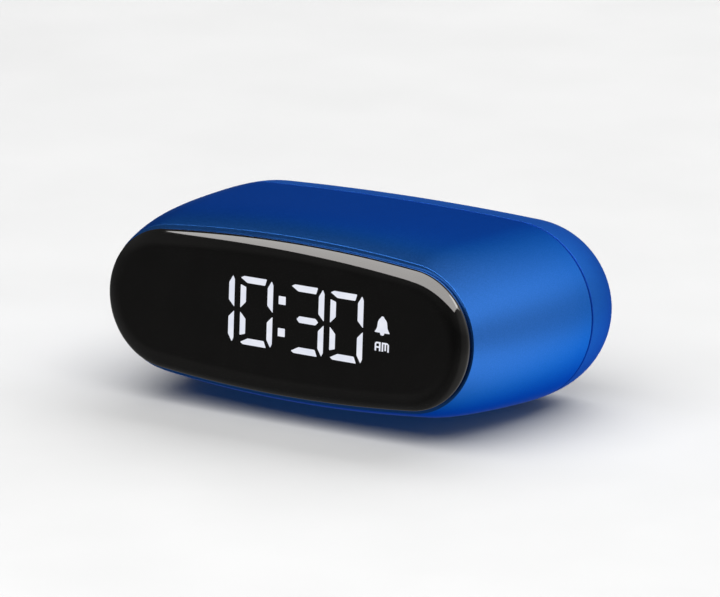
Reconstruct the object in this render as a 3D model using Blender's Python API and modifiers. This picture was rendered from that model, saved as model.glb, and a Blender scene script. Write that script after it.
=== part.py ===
"""Digital alarm clock: a barrel-shaped metal sleeve with a smoked front lens and a flush rear cover.

Everything is modelled in the body's own axes, then tipped back on its rubber feet:
+X is to the right, +Y runs from the lens to the rear, +Z is up, and y = 0 is the lens's widest edge.
"""

import math

import bmesh
import bpy
from mathutils import Matrix, Vector

MM = 0.001

# Clearances
GAP = 0.3 * MM             # between two pieces that rest on each other or pass through each other
SCREW_GAP = 0.35 * MM      # between a screw's shank and its hole
CUT_MARGIN = 1.0 * MM      # how far a cutter runs past the face that it opens
OVERLAP = 0.4 * MM         # how far a boss runs into the wall that it grows from
BORE_OVERLAP = 0.1 * MM    # how far a bore runs into the wider one behind it

# Body
TILT = math.radians(3.2)   # the whole body leans back on its feet
BODY_WIDTH = 95.6 * MM
BODY_HEIGHT = 37.6 * MM
BODY_DEPTH = 52.4 * MM
WIDEST_AT = 34.4 * MM      # depth of the barrel's largest section
SEAM_AT = 37.8 * MM        # where the sleeve ends and the rear cover begins
FRONT_WIDTH_POWER = 1.95   # how fast the sides swell behind the lens
FRONT_HEIGHT_POWER = 6.6   # how fast the top and the underside swell behind the lens
REAR_WIDTH_POWER = 2.15    # roundness of the rear corners, seen from above
REAR_HEIGHT_POWER = 3.2    # roundness of the rear corners, seen from the side
REAR_FLAT_WIDTH = 82.0 * MM
REAR_FLAT_HEIGHT = 14.0 * MM
FRONT_ROUNDNESS = 0.908    # end radius of the oval section over its half height
REAR_ROUNDNESS = 0.963
SEAM_CHAMFER = 0.4 * MM

# Front lens and the tape behind it
LENS_WIDTH = 85.0 * MM
LENS_HEIGHT = 31.0 * MM
LENS_CROWN = 1.8 * MM      # how far the flat front stands proud of the lens's widest edge
LENS_RIM = 4.0 * MM        # width of the rounded rim
LENS_RIM_START = 0.2 * MM  # depth where the straight edge turns into the rounded rim
LENS_BACK = 1.2 * MM
LENS_BEVEL = 0.3 * MM      # at the lens's rear edge
LENS_RIM_STEPS = 6
TAPE_THICKNESS = 0.4 * MM
TAPE_WIDTH = 1.8 * MM
TAPE_INSET = 1.5 * MM

# Sleeve
SLEEVE_WALL = 1.8 * MM
FLANGE_THICKNESS = 2.2 * MM
WINDOW_INSET = 3.6 * MM    # from the lens's outline to the opening in the sleeve's front flange
FLANGE_CORNER = 0.5 * MM   # between the flange and the first slice of the inner wall

# Rear cover
COVER_WALL = 2.0 * MM
SPIGOT_LENGTH = 4.0 * MM
SPIGOT_WALL = 1.2 * MM
COVER_BOSS_RADIUS = 3.5 * MM
COVER_BOSS_LENGTH = 10.0 * MM
COVER_WALL_START = 2.5 * MM  # from the seam to the first slice of the inner wall
SCREW_TIP_ROOM = 0.2 * MM

# Display: printed film, segment mask and light board
FILM_THICKNESS = 0.3 * MM
MASK_THICKNESS = 5.1 * MM
MASK_FLANGE = 2.4 * MM
MASK_FLANGE_THICKNESS = 2.5 * MM
BOARD_THICKNESS = 1.6 * MM
DIGIT_HEIGHT = 13.7 * MM
DIGIT_WIDTH = 7.7 * MM
STROKE = 1.3 * MM
DIGIT_PITCH = 9.15 * MM
PAIR_OFFSET = 10.6 * MM    # from the colon to the middle of each pair of digits
DISPLAY_X = 0.1 * MM
DISPLAY_Z = 0.85 * MM
COLON_DOT = 1.65 * MM
COLON_HEIGHT = 3.2 * MM
SYMBOL_OFFSET = 23.3 * MM
SYMBOL_WIDTH = 4.2 * MM
BELL_HEIGHT = 4.6 * MM
BELL_RAISE = 1.4 * MM
HALF_DAY_HEIGHT = 2.6 * MM
HALF_DAY_DROP = 3.0 * MM
WELL_CORNER = 0.4 * MM
MASK_BORE_FLOOR = 1.6 * MM  # plastic left in front of a screw's bore

# Chassis that carries the boards and the cell
CHASSIS_OFFSET = 3.3 * MM  # from the light board to the chassis plate
CHASSIS_PLATE = 2.0 * MM
CHASSIS_MARGIN = 0.7 * MM
DISPLAY_SCREW_X = 33.0 * MM
DISPLAY_SCREW_Z = 7.5 * MM
STANDOFF_RADIUS = 2.4 * MM
MAIN_STANDOFF = 4.3 * MM
CABLE_WINDOW = (20.0 * MM, 18.0 * MM)
CABLE_WINDOW_Z = 2.65 * MM
RIB_THICKNESS = 2.0 * MM
RIB_WALL = 1.8 * MM
RIB_X = 28.8 * MM
RIB_REACH = 0.5            # how far past the cell's middle the ribs run, over its radius
POST_TIP_ROOM = 0.6 * MM

# Main board and what sits on it
MAIN_BOARD_WIDTH = 54.0 * MM
MAIN_BOARD_HEIGHT = 24.0 * MM
MAIN_BOARD_Z = 1.0 * MM
MAIN_SCREW_INSET = 3.2 * MM
BOARD_CORNER = 1.5 * MM
CHIP_EDGE = 0.15 * MM
CONTROLLER_SIZE = (7.0 * MM, 1.0 * MM, 7.0 * MM)
CONTROLLER_AT = (-2.0 * MM, -3.0 * MM)
DRIVER_SIZE = (8.6 * MM, 1.5 * MM, 4.0 * MM)
DRIVER_AT = (12.0 * MM, -3.0 * MM)
CRYSTAL_SIZE = (8.0 * MM, 1.8 * MM, 3.0 * MM)
CRYSTAL_AT = (-15.0 * MM, -4.0 * MM)
CRYSTAL_EDGE = 0.6 * MM
COIL_RADIUS = 2.5 * MM
COIL_HEIGHT = 3.0 * MM
COIL_EDGE = 0.4 * MM
COIL_AT = (6.0 * MM, 6.0 * MM)

# Flat cables
CABLE_THICKNESS = 0.3 * MM
DISPLAY_CABLE_WIDTH = 14.0 * MM
BUTTON_CABLE_WIDTH = 8.0 * MM
SOCKET_HEIGHT = 3.0 * MM
SOCKET_DEPTH = 2.0 * MM
SOCKET_MARGIN = 2.0 * MM
SOCKET_EDGE = 0.2 * MM
DISPLAY_SOCKET_Z = 7.85 * MM
MAIN_DISPLAY_SOCKET_Z = -3.15 * MM
DISPLAY_CABLE_REACH = 2.4 * MM   # length of the straight pull at each end
BUTTON_CABLE_X = -10.0 * MM
MAIN_BUTTON_SOCKET_Z = 8.4 * MM
BUTTON_SOCKET_RISE = 2.6 * MM    # from the top of the cell to the socket's middle
BUTTON_CABLE_REACH = 8.0 * MM

# Rechargeable cell, a standard 65 mm cylindrical size, and its leads
CELL_RADIUS = 9.2 * MM
CELL_LENGTH = 65.0 * MM
CELL_Z = -3.0 * MM
CELL_NUB = 0.7 * MM
CELL_NUB_RADIUS = 2.7 * MM
CELL_EDGE = 0.6 * MM
CELL_CLEARANCE = 1.4 * MM  # from the cell to the button board
LEAD_RADIUS = 0.6 * MM
LEAD_LANDING = 0.5 * MM    # from the wrap to the lead's end
LEAD_REACH = 28.0 * MM
LEAD_PULL = 5.0 * MM       # straight out of the plug
LEAD_RISE = 9.0 * MM       # how steeply the lead comes down onto the cell
LEAD_SPACING = 2.4 * MM
PLUG_SIZE = (6.0 * MM, 3.6 * MM, 4.6 * MM)
PLUG_X = 18.0 * MM
PLUG_Z = 9.4 * MM
PLUG_EDGE = 0.3 * MM

# Button board, the row of controls and the charging port
BUTTON_BOARD_WIDTH = 64.0 * MM
BUTTON_BOARD_HEIGHT = 23.0 * MM
CONTROL_Z = 3.0 * MM
BUTTON_NAMES = ("time_set", "alarm_set", "plus", "minus")
FIRST_BUTTON_X = -14.0 * MM
BUTTON_PITCH = 9.0 * MM
BUTTON_RADIUS = 2.8 * MM
BUTTON_FLANGE = 0.9 * MM
BUTTON_FLANGE_THICKNESS = 0.8 * MM
BUTTON_PROUD = 0.7 * MM
BUTTON_TRAVEL = 0.5 * MM
BUTTON_EDGE = 0.3 * MM
SWITCH_SIZE = 6.0 * MM
SWITCH_HEIGHT = 2.5 * MM
SWITCH_SLACK = 0.2 * MM    # left between button and switch at full travel, beyond the gaps
PLUNGER_RADIUS = 1.5 * MM
PLUNGER_WELL = 2.0 * MM
SLIDER_X = -25.0 * MM
SLIDER_KNOB = (4.4 * MM, 2.8 * MM)
SLIDER_PLATE = (9.6 * MM, 4.8 * MM)
SLIDER_PLATE_THICKNESS = 1.2 * MM
SLIDER_PROUD = 0.6 * MM
SLIDER_TRAVEL = 3.0 * MM
KNOB_ROOT = 0.4 * MM       # from the plate's front to where the knob begins
LEVER = 1.4 * MM
LEVER_GRIP = 0.4 * MM
SLIDE_SWITCH_SIZE = (9.4 * MM, 5.2 * MM)
SLIDE_SWITCH_HEIGHT = 2.8 * MM
LEVER_SLOT_DEPTH = 1.9 * MM
PORT_X = 24.0 * MM
PORT_WIDTH = 8.94 * MM
PORT_HEIGHT = 3.2 * MM
PORT_WALL = 0.3 * MM
PORT_BASE = 0.8 * MM
PORT_RECESS = 0.3 * MM
TONGUE = (6.6 * MM, 0.8 * MM)
TONGUE_SHORT = 0.9 * MM    # how far the tongue stops short of the mouth
TONGUE_EDGE = 0.15 * MM
BUZZER_SIZE = (8.5 * MM, 3.0 * MM, 8.5 * MM)
BUZZER_Z = -6.2 * MM
SOUND_HOLE = (1.2 * MM, 1.2 * MM)  # radius and depth
SOUND_SLOTS = 5
SOUND_SLOT = (1.2 * MM, 4.4 * MM)
SOUND_SLOT_PITCH = 2.6 * MM
SLOT_ROUND = 0.49          # corner radius of a slot over its width
BUTTON_SCREW_X = 28.5 * MM
BUTTON_SCREW_Z = -8.6 * MM
BUTTON_BOSS_RADIUS = 2.3 * MM

# Screws: shank radius, head radius, head height, length under the head
COVER_SCREW = (1.3 * MM, 2.3 * MM, 1.6 * MM, 18.0 * MM)
BOARD_SCREW = (1.0 * MM, 1.9 * MM, 1.2 * MM, 4.6 * MM)
DISPLAY_SCREW_BITE = 0.4 * MM  # how far a display screw's tip passes the step of the mask
COUNTERBORE_DEPTH = 2.2 * MM
COVER_SCREW_EDGE = 2.5 * MM  # from the end of the rear flat to the screw's axis

# Rubber feet
FOOT_WIDTH = 42.0 * MM
FOOT_CORNER = 2.5 * MM
FOOT_BLANK = (-BODY_HEIGHT / 2 - 8.0 * MM, -BODY_HEIGHT / 4)  # heights before it is trimmed
HULL_CLEARANCE = 0.5 * MM  # between the lowest point of the body and the table
FRONT_FOOT = (21.8 * MM, 33.0 * MM)
REAR_FOOT = (42.4 * MM, 48.2 * MM)
TABLE_CUT = (200.0 * MM, 200.0 * MM, 20.0 * MM)

# Places along the depth, worked out from the lens backwards
SLEEVE_FRONT = LENS_BACK + GAP
TAPE_LEDGE = SLEEVE_FRONT + TAPE_THICKNESS + GAP
FLANGE_BACK = TAPE_LEDGE + FLANGE_THICKNESS
FILM_BACK = SLEEVE_FRONT + FILM_THICKNESS
MASK_FRONT = FILM_BACK + GAP
MASK_BACK = MASK_FRONT + MASK_THICKNESS
MASK_STEP = MASK_BACK - MASK_FLANGE_THICKNESS
LIGHT_BOARD_FRONT = MASK_BACK + GAP
LIGHT_BOARD_BACK = LIGHT_BOARD_FRONT + BOARD_THICKNESS
CHASSIS_FRONT = LIGHT_BOARD_BACK + CHASSIS_OFFSET
CHASSIS_BACK = CHASSIS_FRONT + CHASSIS_PLATE
MAIN_BOARD_FRONT = CHASSIS_BACK + MAIN_STANDOFF + GAP
MAIN_BOARD_BACK = MAIN_BOARD_FRONT + BOARD_THICKNESS

# Places along the depth, worked out from the rear forwards
COVER_FLOOR = BODY_DEPTH - COVER_WALL
BUTTON_FLANGE_BACK = COVER_FLOOR - GAP
BUTTON_FLANGE_FRONT = BUTTON_FLANGE_BACK - BUTTON_FLANGE_THICKNESS
PLUNGER_TIP = BUTTON_FLANGE_FRONT - GAP
SWITCH_BACK = BUTTON_FLANGE_FRONT - BUTTON_TRAVEL - 2.0 * GAP - SWITCH_SLACK
BUTTON_BOARD_BACK = SWITCH_BACK - SWITCH_HEIGHT - GAP
BUTTON_BOARD_FRONT = BUTTON_BOARD_BACK - BOARD_THICKNESS
ON_BUTTON_BOARD = BUTTON_BOARD_BACK + GAP
CELL_Y = BUTTON_BOARD_FRONT - CELL_CLEARANCE - CELL_RADIUS
COVER_BOSS_TIP = COVER_FLOOR - COVER_BOSS_LENGTH
COVER_SCREW_X = REAR_FLAT_WIDTH / 2 - COVER_SCREW_EDGE
COVER_HEAD_SEAT = BODY_DEPTH - COUNTERBORE_DEPTH


# ---------------------------------------------------------------- sections of the body

def half_width(y):
    """Half width of the barrel at depth y."""
    swell = (BODY_WIDTH - LENS_WIDTH) / 2
    if y < WIDEST_AT:
        return BODY_WIDTH / 2 - swell * (1 - y / WIDEST_AT) ** FRONT_WIDTH_POWER
    return BODY_WIDTH / 2 - rear_drop(y, (BODY_WIDTH - REAR_FLAT_WIDTH) / 2, REAR_WIDTH_POWER)


def half_height(y):
    """Half height of the barrel at depth y."""
    swell = (BODY_HEIGHT - LENS_HEIGHT) / 2
    if y < WIDEST_AT:
        return BODY_HEIGHT / 2 - swell * (1 - y / WIDEST_AT) ** FRONT_HEIGHT_POWER
    return BODY_HEIGHT / 2 - rear_drop(y, (BODY_HEIGHT - REAR_FLAT_HEIGHT) / 2, REAR_HEIGHT_POWER)


def rear_drop(y, total, power):
    """How far a rounded rear corner has fallen away at depth y."""
    share = min(1.0, (y - WIDEST_AT) / (BODY_DEPTH - WIDEST_AT))
    return total * (1 - (1 - share ** power) ** (1 / power))


def body_section(y, inset=0.0, at=None):
    """The body's oval at depth y, drawn in by inset, and placed at another depth if asked."""
    share = min(1.0, y / WIDEST_AT)
    roundness = FRONT_ROUNDNESS + (REAR_ROUNDNESS - FRONT_ROUNDNESS) * share
    high = half_height(y)
    return (y if at is None else at, half_width(y) - inset, high - inset, roundness * high - inset)


def lens_section(y, inset):
    high = LENS_HEIGHT / 2
    return (y, LENS_WIDTH / 2 - inset, high - inset, FRONT_ROUNDNESS * high - inset)


def front_stations(start, end, count=8):
    """Depths from start to end, closer together at the front, where the barrel swells fastest."""
    return [start + (end - start) * (k / count) ** 2 for k in range(count + 1)]


def rear_stations(start, end, count=8):
    """Depths from start to end, closer together at the rear, where the corner turns."""
    first = math.asin((start - WIDEST_AT) / (BODY_DEPTH - WIDEST_AT))
    last = math.asin((end - WIDEST_AT) / (BODY_DEPTH - WIDEST_AT))
    angles = [first + (last - first) * k / count for k in range(count + 1)]
    return [WIDEST_AT + (BODY_DEPTH - WIDEST_AT) * math.sin(angle) for angle in angles]


def oval(half_wide, half_high, end_radius, arc_steps):
    """Points (x, z) of an oval made of four arcs: two round ends, and a shallow top and bottom."""
    end_x = half_wide - end_radius
    flat_radius = (end_x ** 2 + half_high ** 2 - end_radius ** 2) / (2 * (half_high - end_radius))
    flat_z = flat_radius - half_high
    spread = math.atan2(end_x, flat_z)
    arcs = (
        (end_x, 0.0, end_radius, spread - math.pi / 2, math.pi / 2 - spread),
        (0.0, -flat_z, flat_radius, math.pi / 2 - spread, math.pi / 2 + spread),
        (-end_x, 0.0, end_radius, math.pi / 2 + spread, 1.5 * math.pi - spread),
        (0.0, flat_z, flat_radius, 1.5 * math.pi - spread, 1.5 * math.pi + spread),
    )
    points = []
    for x, z, radius, first, last in arcs:
        for step in range(arc_steps):
            angle = first + (last - first) * step / arc_steps
            points.append((x + radius * math.cos(angle), z + radius * math.sin(angle)))
    return points


def outline_stations():
    """Depths of every section of the body's outer surface."""
    front = front_stations(SLEEVE_FRONT, WIDEST_AT)
    return front + rear_stations(SEAM_AT, BODY_DEPTH)


def lens_sections():
    """The lens from its flat back, round its edge, to the flat of its front."""
    sections = [lens_section(LENS_BACK, LENS_BEVEL), lens_section(LENS_BACK - LENS_BEVEL, 0.0)]
    for step in range(LENS_RIM_STEPS + 1):
        angle = math.pi / 2 * step / LENS_RIM_STEPS
        depth = LENS_RIM_START - LENS_CROWN * math.sin(angle)
        sections.append(lens_section(depth, LENS_RIM * (1 - math.cos(angle))))
    return sections


# ---------------------------------------------------------------- scene helpers

def clear_scene():
    for old in list(bpy.data.objects):
        bpy.data.objects.remove(old, do_unlink=True)


def new_collection(name):
    collection = bpy.data.collections.new(name)
    bpy.context.scene.collection.children.link(collection)
    return collection


def finish(name, color, roughness, metallic=0.0):
    material = bpy.data.materials.new(name)
    material.use_nodes = True
    shader = material.node_tree.nodes["Principled BSDF"]
    shader.inputs["Base Color"].default_value = (*color, 1.0)
    shader.inputs["Roughness"].default_value = roughness
    shader.inputs["Metallic"].default_value = metallic
    material.diffuse_color = (*color, 1.0)
    return material


def place(name, mesh, material=None, location=(0, 0, 0), smooth=False):
    """Adds an object to the clock, or to the cutters when it has no material."""
    piece = bpy.data.objects.new(name, mesh)
    piece.location = location
    piece.parent = body_axes
    if smooth:
        mesh.shade_smooth()
        mesh.set_sharp_from_angle(angle=math.radians(35))
    if material:
        mesh.materials.append(material)
        clock.objects.link(piece)
    else:
        piece.hide_render = True
        piece.display_type = "WIRE"
        cutters.objects.link(piece)
    return piece


def mesh_from(name, shape):
    bmesh.ops.recalc_face_normals(shape, faces=shape.faces)
    mesh = bpy.data.meshes.new(name)
    shape.to_mesh(mesh)
    shape.free()
    return mesh


def combine(target, other, operation="DIFFERENCE"):
    boolean = target.modifiers.new(f"{operation.lower()} {other.name}", "BOOLEAN")
    boolean.operation = operation
    boolean.solver = "EXACT"
    boolean.object = other
    return target


def oval_loft(name, sections, material=None, ring=False, arc_steps=12):
    """A loft through ovals (depth, half width, half height, end radius), capped or closed as a ring."""
    shape = bmesh.new()
    loops = []
    for depth, wide, high, radius in sections:
        loops.append([shape.verts.new((x, depth, z)) for x, z in oval(wide, high, radius, arc_steps)])
    pairs = list(zip(loops, loops[1:]))
    if ring:
        pairs.append((loops[-1], loops[0]))
    else:
        shape.faces.new(loops[0])
        shape.faces.new(loops[-1])
    for near, far in pairs:
        for k in range(len(near)):
            after = (k + 1) % len(near)
            shape.faces.new((near[k], near[after], far[after], far[k]))
    return place(name, mesh_from(name, shape), material, smooth=True)


def boxes(name, specs, material=None, bevel=0.0, location=(0, 0, 0)):
    """One mesh of separate boxes, each given by its centre and its size."""
    shape = bmesh.new()
    for centre, size in specs:
        matrix = Matrix.Translation(centre) @ Matrix.Diagonal((*size, 1.0))
        bmesh.ops.create_cube(shape, size=1.0, matrix=matrix)
    piece = place(name, mesh_from(name, shape), material, location)
    if bevel:
        edge = piece.modifiers.new("rounded edges", "BEVEL")
        edge.width = bevel
        edge.segments = 2
    return piece


def rods(name, specs, material=None, segments=16):
    """One mesh of separate cylinders along Y, each given as (x, z, radius, first depth, last depth)."""
    shape = bmesh.new()
    for x, z, radius, first, last in specs:
        turn = Matrix.Rotation(math.pi / 2, 4, "X")
        matrix = Matrix.Translation((x, (first + last) / 2, z)) @ turn
        bmesh.ops.create_cone(shape, cap_ends=True, segments=segments, radius1=radius,
                              radius2=radius, depth=last - first, matrix=matrix)
    return place(name, mesh_from(name, shape), material)


def turned(name, profile, location, material, axis="Y", steps=16):
    """A turned piece: its profile (radius, height) runs from the top, down its outer side."""
    mesh = bpy.data.meshes.new(name)
    if axis == "Y":
        points = [(radius, height, 0.0) for radius, height in profile]
    else:
        points = [(height, radius, 0.0) for radius, height in profile]
    mesh.from_pydata(points, [(k, k + 1) for k in range(len(points) - 1)], [])
    piece = place(name, mesh, material, location)
    screw = piece.modifiers.new("turn", "SCREW")
    screw.axis = axis
    screw.steps = steps
    screw.render_steps = steps
    screw.use_merge_vertices = True
    screw.merge_threshold = 0.00001
    return piece


def extrusion(name, outlines, first, last, material=None, upright=False):
    """Flat outlines (x, z) drawn through the depth, or (x, y) drawn upwards when upright."""
    curve = bpy.data.curves.new(name, "CURVE")
    curve.dimensions = "2D"
    curve.fill_mode = "BOTH"
    curve.extrude = (last - first) / 2
    for outline in outlines:
        spline = curve.splines.new("POLY")
        spline.points.add(len(outline) - 1)
        for point, (u, v) in zip(spline.points, outline):
            point.co = (u, v, 0.0, 1.0)
        spline.use_cyclic_u = True
    guide = bpy.data.objects.new(name, curve)
    cutters.objects.link(guide)
    evaluated = guide.evaluated_get(bpy.context.evaluated_depsgraph_get())
    mesh = bpy.data.meshes.new_from_object(evaluated)
    bpy.data.objects.remove(guide, do_unlink=True)
    shape = bmesh.new()
    shape.from_mesh(mesh)
    bmesh.ops.remove_doubles(shape, verts=shape.verts, dist=0.000001)
    shift = Matrix.Translation((0, 0, (first + last) / 2))
    if not upright:
        shift = Matrix.Translation((0, (first + last) / 2, 0)) @ Matrix.Rotation(math.pi / 2, 4, "X")
    bmesh.ops.transform(shape, matrix=shift, verts=shape.verts)
    return place(name, mesh_from(name, shape), material)


def rounded_box_outline(centre, size, radius, corner_steps=5):
    """Corners run anticlockwise from the upper right."""
    points = []
    for corner, (sign_u, sign_v) in enumerate(((1, 1), (-1, 1), (-1, -1), (1, -1))):
        u = centre[0] + sign_u * (size[0] / 2 - radius)
        v = centre[1] + sign_v * (size[1] / 2 - radius)
        for step in range(corner_steps + 1):
            angle = math.pi / 2 * (corner + step / corner_steps)
            points.append((u + radius * math.cos(angle), v + radius * math.sin(angle)))
    return points


def circle_outline(x, z, radius, count=16):
    angles = [2 * math.pi * k / count for k in range(count)]
    return [(x + radius * math.cos(angle), z + radius * math.sin(angle)) for angle in angles]


def stadium_outline(centre, size):
    return rounded_box_outline(centre, size, size[1] * 0.499, corner_steps=6)


def screw_piece(name, size, x, z, seat, facing=1):
    """A pan-head screw along Y whose head rests on the depth seat and faces the rear (+1)."""
    shank, head, head_height, length = size
    profile = [(0, head_height), (head * 0.8, head_height), (head, head_height * 0.6), (head, 0),
               (shank, 0), (shank, -length + shank), (0, -length)]
    piece = turned(name, profile, (x, seat, z), steel, steps=12)
    if facing < 0:
        piece.rotation_euler = (math.pi, 0, 0)
    return piece


# ---------------------------------------------------------------- casing

def make_lens():
    oval_loft("front_lens", lens_sections(), smoked_acrylic)


def make_tape():
    outer = TAPE_INSET
    inner = TAPE_INSET + TAPE_WIDTH
    front = SLEEVE_FRONT
    back = front + TAPE_THICKNESS
    sections = [lens_section(front, outer), lens_section(back, outer),
                lens_section(back, inner), lens_section(front, inner)]
    oval_loft("lens_tape", sections, foam, ring=True, arc_steps=6)


def make_sleeve():
    outer = front_stations(SLEEVE_FRONT, WIDEST_AT) + [SEAM_AT - GAP / 2 - SEAM_CHAMFER]
    end = SEAM_AT - GAP / 2
    sections = [body_section(y) for y in outer]
    sections.append(body_section(end, SEAM_CHAMFER))
    sections.append(body_section(end, SLEEVE_WALL))
    inner = [y for y in reversed(outer[:-1]) if y > FLANGE_BACK + FLANGE_CORNER]
    sections += [body_section(y, SLEEVE_WALL) for y in inner]
    sections.append(body_section(FLANGE_BACK, SLEEVE_WALL))
    sections.append(lens_section(FLANGE_BACK, WINDOW_INSET))
    sections.append(lens_section(TAPE_LEDGE, WINDOW_INSET))
    sections.append(lens_section(TAPE_LEDGE, TAPE_INSET - GAP))
    sections.append(lens_section(SLEEVE_FRONT, TAPE_INSET - GAP))
    oval_loft("body_sleeve", sections, anodised_blue, ring=True)


def cover_sections():
    """The cover from its inner floor, forward to the spigot's tip, and back round the outside."""
    start = SEAM_AT + GAP / 2
    deep = rear_stations(start + COVER_WALL_START, BODY_DEPTH, 6)
    squeeze = (COVER_FLOOR - start) / (BODY_DEPTH - start)
    sections = [body_section(y, COVER_WALL, start + (y - start) * squeeze) for y in reversed(deep)]
    spigot_inner = SLEEVE_WALL + GAP + SPIGOT_WALL
    tip = SEAM_AT - SPIGOT_LENGTH
    sections.append(body_section(start, spigot_inner))
    sections.append(body_section(tip, spigot_inner))
    sections.append(body_section(tip, SLEEVE_WALL + GAP))
    sections.append(body_section(start, SLEEVE_WALL + GAP))
    sections.append(body_section(start, SEAM_CHAMFER))
    sections += [body_section(y) for y in rear_stations(start + SEAM_CHAMFER, BODY_DEPTH, 9)]
    return sections


def make_cover():
    cover = oval_loft("rear_cover", cover_sections(), painted_blue)
    in_wall = COVER_FLOOR + OVERLAP
    bosses = [(side * COVER_SCREW_X, 0.0, COVER_BOSS_RADIUS, COVER_BOSS_TIP, in_wall)
              for side in (-1, 1)]
    bosses += [(side * BUTTON_SCREW_X, BUTTON_SCREW_Z, BUTTON_BOSS_RADIUS, ON_BUTTON_BOARD, in_wall)
               for side in (-1, 1)]
    combine(cover, rods("cover_bosses", bosses), "UNION")
    shank, head, _, _ = COVER_SCREW
    past = BODY_DEPTH + CUT_MARGIN
    holes = []
    for side in (-1, 1):
        x = side * COVER_SCREW_X
        holes.append((x, 0.0, shank + SCREW_GAP, COVER_BOSS_TIP - CUT_MARGIN,
                      COVER_HEAD_SEAT + BORE_OVERLAP))
    holes += [(x, CONTROL_Z, BUTTON_RADIUS + GAP, COVER_FLOOR - CUT_MARGIN, past) for x in button_places()]
    board_shank, _, _, board_length = BOARD_SCREW
    for side in (-1, 1):
        hole_end = BUTTON_BOARD_FRONT + board_length + SCREW_TIP_ROOM
        holes.append((side * BUTTON_SCREW_X, BUTTON_SCREW_Z, board_shank + SCREW_GAP,
                      ON_BUTTON_BOARD - CUT_MARGIN, hole_end))
    combine(cover, rods("cover_holes", holes))
    counterbores = [(side * COVER_SCREW_X, 0.0, head + SCREW_GAP, COVER_HEAD_SEAT, past)
                    for side in (-1, 1)]
    combine(cover, rods("cover_counterbores", counterbores))
    slot_width = SLIDER_KNOB[0] + SLIDER_TRAVEL + 2 * GAP
    openings = [rounded_box_outline((SLIDER_X, CONTROL_Z), (slot_width, SLIDER_KNOB[1] + 2 * GAP),
                                    GAP, 2),
                stadium_outline((PORT_X, CONTROL_Z), (PORT_WIDTH + 2 * GAP, PORT_HEIGHT + 2 * GAP))]
    for slot in range(SOUND_SLOTS):
        x = (slot - (SOUND_SLOTS - 1) / 2) * SOUND_SLOT_PITCH
        openings.append(rounded_box_outline((x, BUZZER_Z), SOUND_SLOT,
                                            SOUND_SLOT[0] * SLOT_ROUND, 4))
    combine(cover, extrusion("cover_openings", openings, COVER_FLOOR - CUT_MARGIN, past))


def make_feet():
    """Pads shaped to the body above and to the table below."""
    hull = [body_section(y, -GAP) for y in outline_stations()]
    hull_guide = oval_loft("foot_hull", hull)
    table = boxes("table_cut", [((0, 0, -TABLE_CUT[2] / 2), TABLE_CUT)])
    table.parent = None
    for name, (first, last) in (("front_foot", FRONT_FOOT), ("rear_foot", REAR_FOOT)):
        plan = rounded_box_outline((0.0, (first + last) / 2), (FOOT_WIDTH, last - first), FOOT_CORNER)
        foot = extrusion(name, [plan], *FOOT_BLANK, rubber, upright=True)
        combine(foot, hull_guide)
        combine(foot, table)


# ---------------------------------------------------------------- display

def segment_outlines():
    """The seven bars of a digit about its centre; the upright bars own the right-hand corners."""
    w = DIGIT_WIDTH / 2
    h = DIGIT_HEIGHT / 2
    s = STROKE
    c = STROKE * 0.3
    upper = {
        "a": [(-w, h - c), (-w + 2 * c, h), (w - 4 * c, h), (w - 5 * c, h - s), (-w + 4 * c, h - s)],
        "f": [(-w, h - 4.5 * c), (-w + s, h - 5.5 * c), (-w + s, s + c), (-w, c)],
        "b": [(w - c, h - c / 2), (w, h - 2.5 * c), (w, c), (w - s, s + c), (w - s, h - 4.3 * c)],
    }
    lower = {
        "d": [(-w + c / 2, -h + c), (-w + 2 * c, -h), (w - 3.6 * c, -h), (w - 5 * c, -h + s),
              (-w + 5 * c, -h + s)],
        "e": [(x, -z) for x, z in upper["f"]],
        "c": [(x, -z) for x, z in upper["b"]],
        "g": [(-w + s, 0), (-w + 1.5 * s, s / 2), (w - 1.5 * s, s / 2), (w - s, 0),
              (w - 1.5 * s, -s / 2), (-w + 1.5 * s, -s / 2)],
    }
    return {**upper, **lower}


def display_windows():
    """Every opening of the mask: four digits, the colon, the bell and the morning sign."""
    windows = []
    for pair in (-1, 1):
        for side in (-1, 1):
            x = DISPLAY_X + pair * PAIR_OFFSET + side * DIGIT_PITCH / 2
            for bar in segment_outlines().values():
                windows.append([(x + u, DISPLAY_Z + v) for u, v in bar])
    for side in (-1, 1):
        centre = (DISPLAY_X, DISPLAY_Z + side * COLON_HEIGHT)
        windows.append(rounded_box_outline(centre, (COLON_DOT, COLON_DOT), COLON_DOT * 0.1, 1))
    x = DISPLAY_X + SYMBOL_OFFSET
    windows.append(rounded_box_outline((x, DISPLAY_Z + BELL_RAISE), (SYMBOL_WIDTH, BELL_HEIGHT),
                                       WELL_CORNER, 2))
    windows.append(rounded_box_outline((x, DISPLAY_Z - HALF_DAY_DROP), (SYMBOL_WIDTH, HALF_DAY_HEIGHT),
                                       WELL_CORNER, 2))
    return windows


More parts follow.
